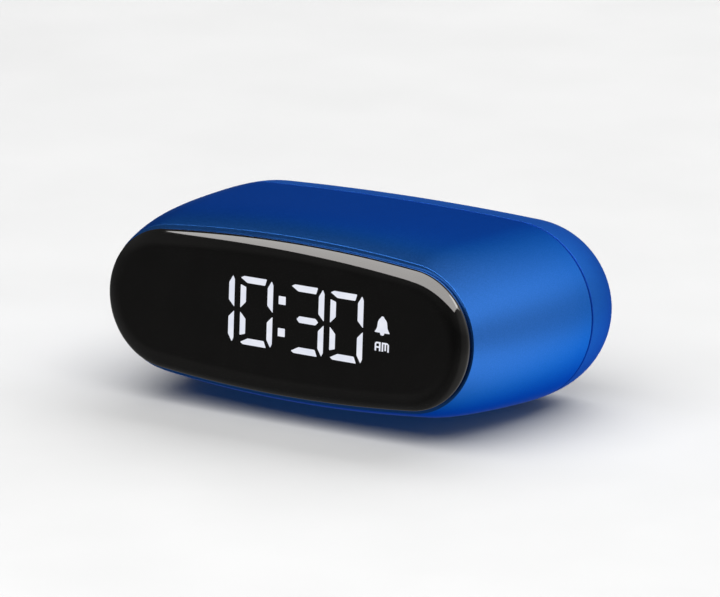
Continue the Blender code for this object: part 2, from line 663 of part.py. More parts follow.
def make_display():
    clear = WINDOW_INSET + GAP
    film = [lens_section(SLEEVE_FRONT, clear), lens_section(FILM_BACK, clear)]
    oval_loft("display_film", film, printed_film, arc_steps=6)
    wide = WINDOW_INSET - MASK_FLANGE
    mask = oval_loft("display_mask", [lens_section(MASK_FRONT, clear), lens_section(MASK_STEP, clear),
                                      lens_section(MASK_STEP, wide), lens_section(MASK_BACK, wide)],
                     black_plastic, arc_steps=6)
    combine(mask, extrusion("mask_wells", display_windows(), MASK_FRONT - CUT_MARGIN, MASK_BACK + CUT_MARGIN))
    shank = BOARD_SCREW[0]
    bores = [(x, z, shank + SCREW_GAP, MASK_FRONT + MASK_BORE_FLOOR, MASK_BACK + CUT_MARGIN)
             for x, z in display_screw_places()]
    combine(mask, rods("mask_bores", bores, segments=10))
    board = oval_loft("display_board", [lens_section(LIGHT_BOARD_FRONT, wide),
                                        lens_section(LIGHT_BOARD_BACK, wide)], circuit_board,
                      arc_steps=6)
    holes = [(x, z, shank + SCREW_GAP, LIGHT_BOARD_FRONT - CUT_MARGIN, LIGHT_BOARD_BACK + CUT_MARGIN)
             for x, z in display_screw_places()]
    combine(board, rods("display_board_holes", holes))


def display_screw_places():
    return [(sx * DISPLAY_SCREW_X, sz * DISPLAY_SCREW_Z) for sx in (-1, 1) for sz in (-1, 1)]


def main_screw_places():
    x = MAIN_BOARD_WIDTH / 2 - MAIN_SCREW_INSET
    z = MAIN_BOARD_HEIGHT / 2 - MAIN_SCREW_INSET
    return [(sx * x, MAIN_BOARD_Z + sz * z) for sx in (-1, 1) for sz in (-1, 1)]


def button_places():
    return [FIRST_BUTTON_X + k * BUTTON_PITCH for k in range(len(BUTTON_NAMES))]


# ---------------------------------------------------------------- chassis and boards

def make_chassis():
    plate = [body_section(CHASSIS_FRONT, SLEEVE_WALL + CHASSIS_MARGIN, at=y)
             for y in (CHASSIS_FRONT, CHASSIS_BACK)]
    chassis = oval_loft("chassis", plate, black_plastic, arc_steps=6)
    inside = CHASSIS_PLATE / 2
    posts = [(x, z, STANDOFF_RADIUS, LIGHT_BOARD_BACK + GAP, CHASSIS_FRONT + inside)
             for x, z in display_screw_places()]
    posts += [(x, z, STANDOFF_RADIUS, CHASSIS_BACK - inside, MAIN_BOARD_FRONT - GAP)
              for x, z in main_screw_places()]
    posts += [(side * COVER_SCREW_X, 0.0, COVER_BOSS_RADIUS, CHASSIS_BACK - inside, COVER_BOSS_TIP - GAP)
              for side in (-1, 1)]
    combine(chassis, rods("chassis_posts", posts, segments=12), "UNION")
    rib_foot = CELL_Z - CELL_RADIUS - GAP - RIB_WALL
    rib_end = CELL_Y + CELL_RADIUS * RIB_REACH
    ribs = [((side * RIB_X, (CHASSIS_BACK - inside + rib_end) / 2, (rib_foot + CELL_Z) / 2),
             (RIB_THICKNESS, rib_end - CHASSIS_BACK + inside, CELL_Z - rib_foot)) for side in (-1, 1)]
    combine(chassis, boxes("chassis_ribs", ribs), "UNION")
    saddle = turned_rod_x("cell_saddle", CELL_RADIUS + GAP, 2 * (RIB_X + RIB_THICKNESS))
    combine(chassis, saddle)
    shank = BOARD_SCREW[0] + SCREW_GAP
    holes = [(x, z, shank, LIGHT_BOARD_BACK - CUT_MARGIN, CHASSIS_BACK + CUT_MARGIN)
             for x, z in display_screw_places()]
    holes += [(x, z, shank, MAIN_BOARD_BACK - BOARD_SCREW[3] - POST_TIP_ROOM, MAIN_BOARD_FRONT + CUT_MARGIN)
              for x, z in main_screw_places()]
    holes += [(side * COVER_SCREW_X, 0.0, COVER_SCREW[0] + SCREW_GAP,
               COVER_HEAD_SEAT - COVER_SCREW[3] - CUT_MARGIN, COVER_BOSS_TIP + CUT_MARGIN)
              for side in (-1, 1)]
    combine(chassis, rods("chassis_holes", holes, segments=10))
    middle = (CHASSIS_FRONT + CHASSIS_BACK) / 2
    window = boxes("cable_window", [((0, middle, CABLE_WINDOW_Z),
                                     (CABLE_WINDOW[0], CHASSIS_PLATE * 2, CABLE_WINDOW[1]))])
    combine(chassis, window)


def turned_rod_x(name, radius, length):
    """A guide cylinder along X through the middle of the cell."""
    shape = bmesh.new()
    matrix = Matrix.Translation((0, CELL_Y, CELL_Z)) @ Matrix.Rotation(math.pi / 2, 4, "Y")
    bmesh.ops.create_cone(shape, cap_ends=True, segments=32, radius1=radius, radius2=radius,
                          depth=length, matrix=matrix)
    return place(name, mesh_from(name, shape))


def board_with_holes(name, size, centre, first, places):
    outlines = [rounded_box_outline(centre, size, BOARD_CORNER, 3)]
    outlines += [circle_outline(x, z, BOARD_SCREW[0] + SCREW_GAP) for x, z in places]
    extrusion(name, outlines, first, first + BOARD_THICKNESS, circuit_board)


def make_boards():
    board_with_holes("main_board", (MAIN_BOARD_WIDTH, MAIN_BOARD_HEIGHT), (0.0, MAIN_BOARD_Z),
                     MAIN_BOARD_FRONT, main_screw_places())
    places = [(side * BUTTON_SCREW_X, BUTTON_SCREW_Z) for side in (-1, 1)]
    board_with_holes("button_board", (BUTTON_BOARD_WIDTH, BUTTON_BOARD_HEIGHT), (0.0, 0.0),
                     BUTTON_BOARD_FRONT, places)


def on_main_board(name, size, at, material, bevel=CHIP_EDGE):
    x, z = at
    centre = Vector((x, MAIN_BOARD_BACK + GAP + size[1] / 2, z))
    boxes(name, [((0, 0, 0), size)], material, bevel, centre)


def make_board_parts():
    on_main_board("controller_chip", CONTROLLER_SIZE, CONTROLLER_AT, chip_black)
    on_main_board("light_driver_chip", DRIVER_SIZE, DRIVER_AT, chip_black)
    on_main_board("clock_crystal", CRYSTAL_SIZE, CRYSTAL_AT, steel, CRYSTAL_EDGE)
    on_main_board("battery_socket", PLUG_SIZE, (PLUG_X, PLUG_Z), white_plastic)
    coil = [(0, COIL_HEIGHT), (COIL_RADIUS - COIL_EDGE, COIL_HEIGHT), (COIL_RADIUS, COIL_HEIGHT - COIL_EDGE),
            (COIL_RADIUS, 0), (0, 0)]
    turned("charging_coil", coil, (COIL_AT[0], MAIN_BOARD_BACK + GAP, COIL_AT[1]), ferrite)
    plug_y = MAIN_BOARD_BACK + 2 * GAP + 1.5 * PLUG_SIZE[1]
    boxes("battery_plug", [((0, 0, 0), PLUG_SIZE)], white_plastic, PLUG_EDGE, (PLUG_X, plug_y, PLUG_Z))


def make_cell():
    half = CELL_LENGTH / 2
    shoulder = CELL_RADIUS - CELL_EDGE
    profile = [(0, half + CELL_NUB), (CELL_NUB_RADIUS, half + CELL_NUB), (CELL_NUB_RADIUS, half),
               (shoulder, half), (CELL_RADIUS, half - CELL_EDGE), (CELL_RADIUS, -half + CELL_EDGE),
               (shoulder, -half), (0, -half)]
    turned("battery_cell", profile, (0, CELL_Y, CELL_Z), cell_wrap, axis="X", steps=28)


# ---------------------------------------------------------------- cables

def bezier(points, count):
    """Points along one cubic curve."""
    a, b, c, d = (Vector(point) for point in points)
    route = []
    for k in range(count + 1):
        t = k / count
        route.append(a * (1 - t) ** 3 + b * 3 * t * (1 - t) ** 2 + c * 3 * t ** 2 * (1 - t) + d * t ** 3)
    return route


def flat_cable(name, x, width, ends, reach):
    """A flat cable between two sockets that face each other, given as (depth, height) ends."""
    (y0, z0), (y1, z1) = ends
    route = bezier(((0, y0, z0), (0, y0 + reach, z0), (0, y1 - reach, z1), (0, y1, z1)), 14)
    mesh = bpy.data.meshes.new(name)
    verts = [(x + side * width / 2, point.y, point.z) for point in route for side in (-1, 1)]
    faces = [(2 * k, 2 * k + 1, 2 * k + 3, 2 * k + 2) for k in range(len(route) - 1)]
    mesh.from_pydata(verts, [], faces)
    cable = place(name, mesh, cable_white)
    solid = cable.modifiers.new("thickness", "SOLIDIFY")
    solid.thickness = CABLE_THICKNESS
    solid.offset = 0.0


def socket(name, x, z, y, width):
    size = (width + SOCKET_MARGIN, SOCKET_DEPTH, SOCKET_HEIGHT)
    boxes(name, [((0, 0, 0), size)], cable_white, SOCKET_EDGE, (x, y, z))


def make_cables():
    front_y = LIGHT_BOARD_BACK + GAP + SOCKET_DEPTH / 2
    back_y = MAIN_BOARD_FRONT - GAP - SOCKET_DEPTH / 2
    socket("display_socket", 0, DISPLAY_SOCKET_Z, front_y, DISPLAY_CABLE_WIDTH)
    socket("main_display_socket", 0, MAIN_DISPLAY_SOCKET_Z, back_y, DISPLAY_CABLE_WIDTH)
    clear = SOCKET_DEPTH / 2 + GAP
    flat_cable("display_cable", 0, DISPLAY_CABLE_WIDTH,
               ((front_y + clear, DISPLAY_SOCKET_Z), (back_y - clear, MAIN_DISPLAY_SOCKET_Z)),
               DISPLAY_CABLE_REACH)
    front_y = MAIN_BOARD_BACK + GAP + SOCKET_DEPTH / 2
    back_y = BUTTON_BOARD_FRONT - GAP - SOCKET_DEPTH / 2
    z_back = CELL_Z + CELL_RADIUS + BUTTON_SOCKET_RISE
    socket("main_button_socket", BUTTON_CABLE_X, MAIN_BUTTON_SOCKET_Z, front_y, BUTTON_CABLE_WIDTH)
    socket("button_socket", BUTTON_CABLE_X, z_back, back_y, BUTTON_CABLE_WIDTH)
    flat_cable("button_cable", BUTTON_CABLE_X, BUTTON_CABLE_WIDTH,
               ((front_y + clear, MAIN_BUTTON_SOCKET_Z), (back_y - clear, z_back)), BUTTON_CABLE_REACH)


def lead(name, side, material):
    """A cell lead: from the plug, over the cell, and down onto the cell's wrap."""
    plug_end = MAIN_BOARD_BACK + 2 * GAP + 2 * PLUG_SIZE[1] + GAP
    start = Vector((PLUG_X + side * LEAD_SPACING / 2, plug_end + GAP, PLUG_Z))
    landing = CELL_Z + CELL_RADIUS + LEAD_LANDING
    end = Vector((side * LEAD_REACH, CELL_Y, landing))
    above = Vector((end.x, CELL_Y, landing + LEAD_RISE))
    route = bezier((start, start + Vector((0, LEAD_PULL, 0)), above, end), 20)
    curve = bpy.data.curves.new(name, "CURVE")
    curve.dimensions = "3D"
    curve.bevel_depth = LEAD_RADIUS
    curve.bevel_resolution = 2
    curve.use_fill_caps = True
    spline = curve.splines.new("POLY")
    spline.points.add(len(route) - 1)
    for point, place_at in zip(spline.points, route):
        point.co = (*place_at, 1.0)
    wire = bpy.data.objects.new(name, curve)
    wire.parent = body_axes
    curve.materials.append(material)
    clock.objects.link(wire)


def make_leads():
    lead("battery_lead_positive", 1, lead_red)
    lead("battery_lead_negative", -1, lead_black)


# ---------------------------------------------------------------- controls and port

def make_buttons():
    for label, x in zip(BUTTON_NAMES, button_places()):
        top = BODY_DEPTH + BUTTON_PROUD - BUTTON_FLANGE_FRONT
        flange = BUTTON_RADIUS + BUTTON_FLANGE
        profile = [(0, top), (BUTTON_RADIUS - BUTTON_EDGE, top), (BUTTON_RADIUS, top - BUTTON_EDGE),
                   (BUTTON_RADIUS, BUTTON_FLANGE_THICKNESS), (flange, BUTTON_FLANGE_THICKNESS),
                   (flange, 0), (0, 0)]
        turned(f"{label}_button", profile, (x, BUTTON_FLANGE_FRONT, CONTROL_Z), black_plastic, steps=20)
        stem_foot = SWITCH_BACK - PLUNGER_WELL + BUTTON_TRAVEL + GAP
        stem = [(0, PLUNGER_TIP - stem_foot), (PLUNGER_RADIUS, PLUNGER_TIP - stem_foot),
                (PLUNGER_RADIUS, 0), (0, 0)]
        turned(f"{label}_plunger", stem, (x, stem_foot, CONTROL_Z), black_plastic, steps=12)
        centre = (x, ON_BUTTON_BOARD + SWITCH_HEIGHT / 2, CONTROL_Z)
        body = boxes(f"{label}_switch", [((0, 0, 0), (SWITCH_SIZE, SWITCH_HEIGHT, SWITCH_SIZE))],
                     steel, 0.0, centre)
        well = rods(f"{label}_switch_well", [(x, CONTROL_Z, PLUNGER_RADIUS + GAP,
                                              SWITCH_BACK - PLUNGER_WELL, SWITCH_BACK + CUT_MARGIN)])
        combine(body, well)


def make_slider():
    """The alarm on/off slider, the switch lever that it grips, and the switch."""
    x = SLIDER_X - SLIDER_TRAVEL / 2
    plate_back = COVER_FLOOR - GAP
    plate_front = plate_back - SLIDER_PLATE_THICKNESS
    knob_top = BODY_DEPTH + SLIDER_PROUD
    origin = Vector((x, plate_front, CONTROL_Z))
    knob_middle = (plate_front + KNOB_ROOT + knob_top) / 2 - plate_front
    slider = boxes("alarm_slider", [((0, SLIDER_PLATE_THICKNESS / 2, 0),
                                     (SLIDER_PLATE[0], SLIDER_PLATE_THICKNESS, SLIDER_PLATE[1]))],
                   black_plastic, 0.0, origin)
    knob_size = (SLIDER_KNOB[0], knob_top - plate_front - KNOB_ROOT, SLIDER_KNOB[1])
    knob = boxes("slider_knob", [((0, knob_middle, 0), knob_size)], location=origin)
    combine(slider, knob, "UNION")
    pocket_size = LEVER + 2 * GAP
    pocket_depth = LEVER_GRIP + GAP
    pocket = boxes("slider_pocket", [((0, 0, 0), (pocket_size, 2 * pocket_depth, pocket_size))],
                   location=origin)
    combine(slider, pocket)
    switch_back = ON_BUTTON_BOARD + SLIDE_SWITCH_HEIGHT
    lever_foot = switch_back - LEVER_SLOT_DEPTH + GAP
    lever_tip = plate_front + LEVER_GRIP
    boxes("slide_lever", [((0, (lever_tip - lever_foot) / 2, 0), (LEVER, lever_tip - lever_foot, LEVER))],
          white_plastic, 0.0, (x, lever_foot, CONTROL_Z))
    switch = boxes("slide_switch", [((0, 0, 0), (SLIDE_SWITCH_SIZE[0], SLIDE_SWITCH_HEIGHT,
                                                 SLIDE_SWITCH_SIZE[1]))], steel, 0.0,
                   (SLIDER_X, ON_BUTTON_BOARD + SLIDE_SWITCH_HEIGHT / 2, CONTROL_Z))
    slot = boxes("slide_switch_slot", [((0, 0, 0), (LEVER + SLIDER_TRAVEL + 2 * GAP, 2 * LEVER_SLOT_DEPTH,
                                                    LEVER + 2 * GAP))],
                 location=(SLIDER_X, switch_back, CONTROL_Z))
    combine(switch, slot)


def make_port():
    """The charging port: a rolled metal shell, closed at the board, and the tongue inside it."""
    mouth = BODY_DEPTH - PORT_RECESS
    shell = extrusion("usb_port", [stadium_outline((PORT_X, CONTROL_Z), (PORT_WIDTH, PORT_HEIGHT))],
                      ON_BUTTON_BOARD, mouth, steel)
    inside = (PORT_WIDTH - 2 * PORT_WALL, PORT_HEIGHT - 2 * PORT_WALL)
    hollow = extrusion("usb_port_hollow", [stadium_outline((PORT_X, CONTROL_Z), inside)],
                       ON_BUTTON_BOARD + PORT_BASE, mouth + CUT_MARGIN)
    combine(shell, hollow)
    first = ON_BUTTON_BOARD + PORT_BASE + GAP
    last = mouth - TONGUE_SHORT
    boxes("usb_tongue", [((0, 0, 0), (TONGUE[0], last - first, TONGUE[1]))], black_plastic, TONGUE_EDGE,
          (PORT_X, (first + last) / 2, CONTROL_Z))


def make_buzzer():
    width, depth, height = BUZZER_SIZE
    buzzer = boxes("buzzer", [((0, 0, 0), BUZZER_SIZE)], black_plastic, 0.0,
                   (0, ON_BUTTON_BOARD + depth / 2, BUZZER_Z))
    back = ON_BUTTON_BOARD + depth
    radius, hole_depth = SOUND_HOLE
    hole = rods("buzzer_sound_hole", [(0.0, BUZZER_Z, radius, back - hole_depth, back + CUT_MARGIN)])
    combine(buzzer, hole)


def make_screws():
    sides = (("left", -1), ("right", 1))
    for label, side in sides:
        screw_piece(f"cover_screw_{label}", COVER_SCREW, side * COVER_SCREW_X, 0.0, COVER_HEAD_SEAT + GAP)
        screw_piece(f"button_board_screw_{label}", BOARD_SCREW, side * BUTTON_SCREW_X, BUTTON_SCREW_Z,
                    BUTTON_BOARD_FRONT - GAP, facing=-1)
    corners = [f"{across}_{height}" for across in ("left", "right") for height in ("lower", "upper")]
    long_screw = (*BOARD_SCREW[:3], CHASSIS_BACK - MASK_STEP + DISPLAY_SCREW_BITE)
    for label, (x, z) in zip(corners, display_screw_places()):
        screw_piece(f"display_screw_{label}", long_screw, x, z, CHASSIS_BACK + GAP)
    for label, (x, z) in zip(corners, main_screw_places()):
        screw_piece(f"main_board_screw_{label}", BOARD_SCREW, x, z, MAIN_BOARD_BACK + GAP)


# ---------------------------------------------------------------- standing the clock on the table

def stand_on_table():
    """Tips the body back, centres it over the origin and rests its feet on z = 0."""
    cos_tilt = math.cos(TILT)
    sin_tilt = math.sin(TILT)
    front = min(y * cos_tilt - high * sin_tilt for y, _, high, _ in lens_sections())
    cover = max(y * cos_tilt + high * sin_tilt for y, _, high, _ in cover_sections())
    button = (BODY_DEPTH + BUTTON_PROUD) * cos_tilt + (CONTROL_Z + BUTTON_RADIUS - BUTTON_EDGE) * sin_tilt
    lowest = max(half_height(y) * cos_tilt + y * sin_tilt for y in outline_stations())
    body_axes.rotation_euler = (-TILT, 0, 0)
    body_axes.location = (0, -(front + max(cover, button)) / 2, lowest + HULL_CLEARANCE)


clear_scene()
clock = new_collection("alarm_clock")
cutters = new_collection("cutters")
body_axes = bpy.data.objects.new("body_axes", None)
clock.objects.link(body_axes)
stand_on_table()

smoked_acrylic = finish("smoked_acrylic", (0.006, 0.006, 0.007), 0.06)
anodised_blue = finish("anodised_blue", (0.012, 0.075, 0.42), 0.36, 1.0)
painted_blue = finish("painted_blue", (0.015, 0.09, 0.40), 0.4)
black_plastic = finish("black_plastic", (0.012, 0.012, 0.013), 0.5)
white_plastic = finish("white_plastic", (0.78, 0.77, 0.73), 0.45)
printed_film = finish("printed_film", (0.02, 0.02, 0.022), 0.4)
foam = finish("foam", (0.03, 0.03, 0.03), 0.9)
rubber = finish("rubber", (0.025, 0.025, 0.027), 0.8)
circuit_board = finish("circuit_board", (0.01, 0.12, 0.05), 0.4)
chip_black = finish("chip_black", (0.015, 0.015, 0.016), 0.55)
steel = finish("steel", (0.62, 0.62, 0.63), 0.3, 1.0)
ferrite = finish("ferrite", (0.09, 0.085, 0.08), 0.7)
cell_wrap = finish("cell_wrap", (0.03, 0.16, 0.36), 0.35)
cable_white = finish("cable_white", (0.72, 0.72, 0.68), 0.4)
lead_red = finish("lead_red", (0.5, 0.02, 0.015), 0.45)
lead_black = finish("lead_black", (0.02, 0.02, 0.02), 0.45)

make_lens()
make_tape()
make_sleeve()
make_cover()
make_feet()
make_display()
make_chassis()
make_boards()
make_board_parts()
make_cell()
make_cables()
make_leads()
make_buttons()
make_slider()
make_port()
make_buzzer()
make_screws()
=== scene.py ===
# %% [markdown]
# # A small digital alarm clock
#
# The clock is a shallow metal barrel with a smoked lens in front and a flush cover behind.
# The engineering model is loaded first and never moves. Every finer piece is drawn around it in
# the body's own axes: X to the right, Y from the lens to the rear, Z up, all in metres.

# %% Load the fixed frame
import math

import bmesh
import bpy
from mathutils import Matrix, Vector


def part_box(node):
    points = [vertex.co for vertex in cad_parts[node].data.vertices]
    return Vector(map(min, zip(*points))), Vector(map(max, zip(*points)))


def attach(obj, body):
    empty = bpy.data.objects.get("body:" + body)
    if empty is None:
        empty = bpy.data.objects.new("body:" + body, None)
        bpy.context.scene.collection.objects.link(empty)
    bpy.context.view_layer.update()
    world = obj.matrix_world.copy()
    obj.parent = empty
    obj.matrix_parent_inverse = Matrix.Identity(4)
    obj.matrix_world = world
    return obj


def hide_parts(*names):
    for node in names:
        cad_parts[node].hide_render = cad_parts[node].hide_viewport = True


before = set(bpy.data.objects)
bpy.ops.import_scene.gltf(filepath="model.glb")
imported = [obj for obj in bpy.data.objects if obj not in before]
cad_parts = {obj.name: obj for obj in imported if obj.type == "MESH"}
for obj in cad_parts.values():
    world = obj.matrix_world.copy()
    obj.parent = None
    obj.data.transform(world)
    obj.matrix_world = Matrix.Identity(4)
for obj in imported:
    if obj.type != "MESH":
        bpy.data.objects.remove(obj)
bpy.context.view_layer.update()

# %% [markdown]
# ## The body's axes
#
# The whole clock leans back on its feet by a few degrees. Drawing it upright and leaning it once,
# at the end of each piece, keeps every number a plain one. The main board is a flat plate that is
# the same on both sides of its middle, so the middle of its box gives the place of the axes.

# %% Body axes
MM = 0.001
LEAN = math.radians(3.2)
BOARD_MIDDLE = Vector((0.0, 19.8 * MM, 1.0 * MM))

board_low, board_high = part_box("main_board")
turn = Matrix.Rotation(-LEAN, 4, "X")
BODY = Matrix.Translation((board_low + board_high) / 2 - turn @ BOARD_MIDDLE) @ turn
print("body origin (mm):", [round(value / MM, 3) for value in BODY.translation])

# %% [markdown]
# ## The camera
#
# A product shot from two o'clock and a little above, with a long lens: the sides stay nearly
# parallel. The camera looks past the lens's middle, so that the clock fills the frame.

# %% Camera
AZIMUTH = math.radians(34.18)
ELEVATION = math.radians(14.78)
LENS_WIDTH = 85.0 * MM
CAMERA_DISTANCE = 14 * LENS_WIDTH
SENSOR_WIDTH = 36.0
FOCAL_LENGTH = 303.5
FAR_CLIP = 20.0
AIM = (14.74 * MM, 4.02 * MM)  # from the lens's middle, to the right and up in the view


def in_scene(name, data):
    """An object with its data, put in the scene."""
    made = bpy.data.objects.new(name, data)
    bpy.context.scene.collection.objects.link(made)
    return made


camera = in_scene("camera", bpy.data.cameras.new("camera"))
back = Vector((math.sin(AZIMUTH) * math.cos(ELEVATION),
               -math.cos(AZIMUTH) * math.cos(ELEVATION), math.sin(ELEVATION)))
lens_middle = BODY @ Vector((0, 0, 0))
right = Vector((math.cos(AZIMUTH), math.sin(AZIMUTH), 0))
up = back.cross(right)
camera.location = lens_middle + back * CAMERA_DISTANCE
target = lens_middle + right * AIM[0] + up * AIM[1]
camera.rotation_euler = (camera.location - target).to_track_quat("Z", "Y").to_euler()
camera.data.lens = FOCAL_LENGTH
camera.data.sensor_width = SENSOR_WIDTH
camera.data.clip_end = FAR_CLIP
bpy.context.scene.camera = camera
print("camera at", [round(value, 4) for value in camera.location])

# %% [markdown]
# ## One way to add a node
#
# Shapes and finishes are both node trees. One function adds a node, sets its properties, and fills
# its inputs: a value is stored, and a socket is linked.

# %% Node helper
def node(tree, kind, inputs=None, **settings):
    """Adds a node with its properties, and fills inputs by name or number with values or links."""
    made = tree.nodes.new(kind)
    for key, value in settings.items():
        setattr(made, key, value)
    for key, value in (inputs or {}).items():
        if isinstance(value, bpy.types.NodeSocket):
            tree.links.new(value, made.inputs[key])
        else:
            made.inputs[key].default_value = value
    return made


def linear(code):
    """An sRGB hex colour as linear numbers."""
    parts = [int(code[k:k + 2], 16) / 255 for k in (1, 3, 5)]
    return tuple(c / 12.92 if c <= 0.04045 else ((c + 0.055) / 1.055) ** 2.4 for c in parts)


def new_material(name, **shader_values):
    """A material with a Principled shader whose plain numbers are set on its own sockets."""
    material = bpy.data.materials.new(name)
    material.use_nodes = True
    shader = material.node_tree.nodes["Principled BSDF"]
    for key, value in shader_values.items():
        shader.inputs[key.replace("_", " ")].default_value = value
    return material, material.node_tree, shader

# %% [markdown]
# ## Finishes that share one recipe
#
# Most of these surfaces are one colour with a fine, random texture left by the way they were made:
# blasting, moulding, casting or printing. A noise on the piece's own coordinates, sized in
# millimetres, moves the colour between two close tones, shifts the gloss, and raises a slight relief.

# %% Grain
NOISE_SPAN = (0.32, 0.68)         # nearly all of a noise lies in here
TONE_A, TONE_B, MIXED = 6, 7, 2   # the mix node's sockets for colours


def grain(tree, size, detail, stretch):
    """A noise with features about size across, in mm, spread to the range 0 to 1."""
    place = node(tree, "ShaderNodeTexCoord").outputs["Object"]
    place = node(tree, "ShaderNodeMapping", {"Vector": place, "Scale": stretch}).outputs["Vector"]
    noise = node(tree, "ShaderNodeTexNoise", {"Vector": place, "Scale": 1 / (size * MM), "Detail": detail})
    spread = {"Value": noise.outputs["Fac"], "From Min": NOISE_SPAN[0], "From Max": NOISE_SPAN[1]}
    return node(tree, "ShaderNodeMapRange", spread).outputs["Result"]


def vary(tree, shader, pattern, tones, gloss=None, relief=None, coloured="Base Color"):
    """Lets a pattern from 0 to 1 drive two tones, two roughness values and a relief in mm."""
    ends = {0: pattern, TONE_A: (*linear(tones[0]), 1.0), TONE_B: (*linear(tones[1]), 1.0)}
    mixed = node(tree, "ShaderNodeMix", ends, data_type="RGBA").outputs[MIXED]
    tree.links.new(mixed, shader.inputs[coloured])
    if gloss:
        ends = {"Value": pattern, "To Min": gloss[0], "To Max": gloss[1]}
        rough = node(tree, "ShaderNodeMapRange", ends).outputs["Result"]
        tree.links.new(rough, shader.inputs["Roughness"])
    if relief:
        bump = node(tree, "ShaderNodeBump", {"Height": pattern, "Distance": relief * MM, "Strength": 1.0})
        tree.links.new(bump.outputs["Normal"], shader.inputs["Normal"])


def grained(name, tones, gloss, size, relief=None, stretch=(1.0, 1.0, 1.0), detail=3.0,
            coloured="Base Color", **shader_values):
    """A material made from one grain."""
    material, tree, shader = new_material(name, **shader_values)
    vary(tree, shader, grain(tree, size, detail, stretch), tones, gloss, relief, coloured)
    return material


# %% [markdown]
# ## Casing finishes
#
# - Aluminium, blasted with glass beads and anodised blue. The blasting leaves tiny dents that
#   scatter the light, so highlights are broad and soft with a slight sparkle. The dye sits in a clear
#   oxide layer, and the metal under it tints every reflection. Real dents are near 0.1 mm, which
#   is finer than a picture shows, so they are drawn 0.25 mm wide.
# - Zinc or ABS with a satin metallic blue paint: flatter and more even than the anodised barrel.
# - Cast acrylic, dyed nearly black, polished and hard-coated: sharp, strong reflections on a
#   black ground.
# - Moulded silicone rubber: dark, dull, slightly mottled.

# %% Casing finishes
DYED_EDGE = (*linear("#4C8EFF"), 1.0)
WARM_EDGE = (1.0, 0.93, 0.86, 1.0)
anodised_aluminium = grained("blasted_anodised_aluminium", ("#3F89F0", "#4892FC"), (0.30, 0.36), 0.25,
                             0.004, detail=2.0, Metallic=1.0, Specular_Tint=DYED_EDGE)
painted_blue = grained("satin_blue_paint", ("#3A7EDE", "#4086E8"), (0.40, 0.46), 0.35, 0.003,
                       Metallic=0.95, Specular_Tint=DYED_EDGE)
smoked_acrylic = grained("polished_smoked_acrylic", ("#010101", "#030303"), (0.035, 0.055), 6.0,
                         IOR=1.49, Specular_Tint=WARM_EDGE, Coat_Weight=1.0, Coat_Roughness=0.03)
silicone_rubber = grained("moulded_silicone_rubber", ("#18181A", "#232326"), (0.70, 0.85), 0.6, 0.02)

# %% [markdown]
# ## Plastics
#
# Moulded parts copy the spark-eroded skin of their tool: a fine, even, matt texture. Connectors are
# white nylon, chips are epoxy filled with silica, and the leads have soft PVC over copper.

# %% Plastics
black_abs = grained("moulded_black_abs", ("#121214", "#1A1A1D"), (0.42, 0.56), 0.30, 0.006)
white_nylon = grained("moulded_white_nylon", ("#DAD7CC", "#E8E5DA"), (0.38, 0.50), 0.8, 0.004)
chip_epoxy = grained("filled_black_epoxy", ("#161617", "#222224"), (0.50, 0.62), 0.12, 0.003)
red_pvc = grained("soft_red_pvc", ("#A81B16", "#C02620"), (0.36, 0.46), 0.9)
black_pvc = grained("soft_black_pvc", ("#141415", "#1E1E20"), (0.36, 0.46), 0.9)
printed_film_finish = grained("printed_polyester_film", ("#101012", "#161619"), (0.32, 0.40), 0.5)
tape_foam = grained("closed_cell_tape", ("#1B1B1B", "#2A2A2A"), (0.80, 0.92), 0.20, 0.02)
sign_ink = grained("white_pad_print", ("#D6DADF", "#E8ECF0"), (0.45, 0.60), 0.25)

# %% [markdown]
# ## Metals and ceramics
#
# Stamped and plated parts carry the long scratches of rolled strip, so their grain is stretched in
# one direction. Solder is brighter and lumpier, and ferrite is a dull, sintered ceramic.

# %% Metals and ceramics
nickel_steel = grained("nickel_plated_steel", ("#B9B8B4", "#CFCECA"), (0.22, 0.34), 0.15, 0.001,
                       (1.0, 1.0, 0.12), Metallic=1.0)
screw_steel = grained("black_zinc_steel", ("#2B2D33", "#3B3E46"), (0.30, 0.42), 0.20, 0.002, Metallic=1.0)
gold_plate = grained("gold_plated_copper", ("#D9A441", "#E8B95A"), (0.20, 0.30), 0.20, Metallic=1.0)
tin_solder = grained("tin_solder", ("#B4B6B8", "#D2D4D6"), (0.25, 0.40), 0.30, 0.01, Metallic=1.0)
ferrite_ceramic = grained("sintered_ferrite", ("#3A3937", "#4A4946"), (0.60, 0.75), 0.15, 0.006)
part_ceramic = grained("fired_capacitor_ceramic", ("#A98B62", "#BD9E74"), (0.45, 0.60), 0.20)

# %% [markdown]
# ## Circuit boards
#
# Glass cloth in epoxy, with copper tracks under a green varnish. Where there is copper beneath it,
# the varnish looks lighter. Two brick patterns of fine lines, one turned by a right angle, read as
# tracks that run along and across the board.

# %% Circuit board
TRACK_PITCH = 1.3 * MM
TRACK_LENGTH, TRACK_WIDTH, TRACK_BLUR = 4.7, 0.12, 0.2   # in pitches
BLACK, WHITE = (0, 0, 0, 1), (1, 1, 1, 1)
board_laminate, tree, shader = new_material("glass_epoxy_board", Roughness=0.32)
place = node(tree, "ShaderNodeTexCoord").outputs["Object"]
lines = []
for about_y, offset in ((0, 0.37), (math.pi / 2, 0.61)):
    facing = node(tree, "ShaderNodeMapping", {"Vector": place, "Rotation": (math.pi / 2, about_y, 0)})
    bricks = node(tree, "ShaderNodeTexBrick",
                  {"Vector": facing.outputs["Vector"], "Scale": 1 / TRACK_PITCH, "Color1": BLACK,
                   "Color2": BLACK, "Mortar": WHITE, "Mortar Size": TRACK_WIDTH,
                   "Mortar Smooth": TRACK_BLUR, "Brick Width": TRACK_LENGTH, "Row Height": 1.0},
                  offset=offset)
    lines.append(bricks.outputs["Color"])
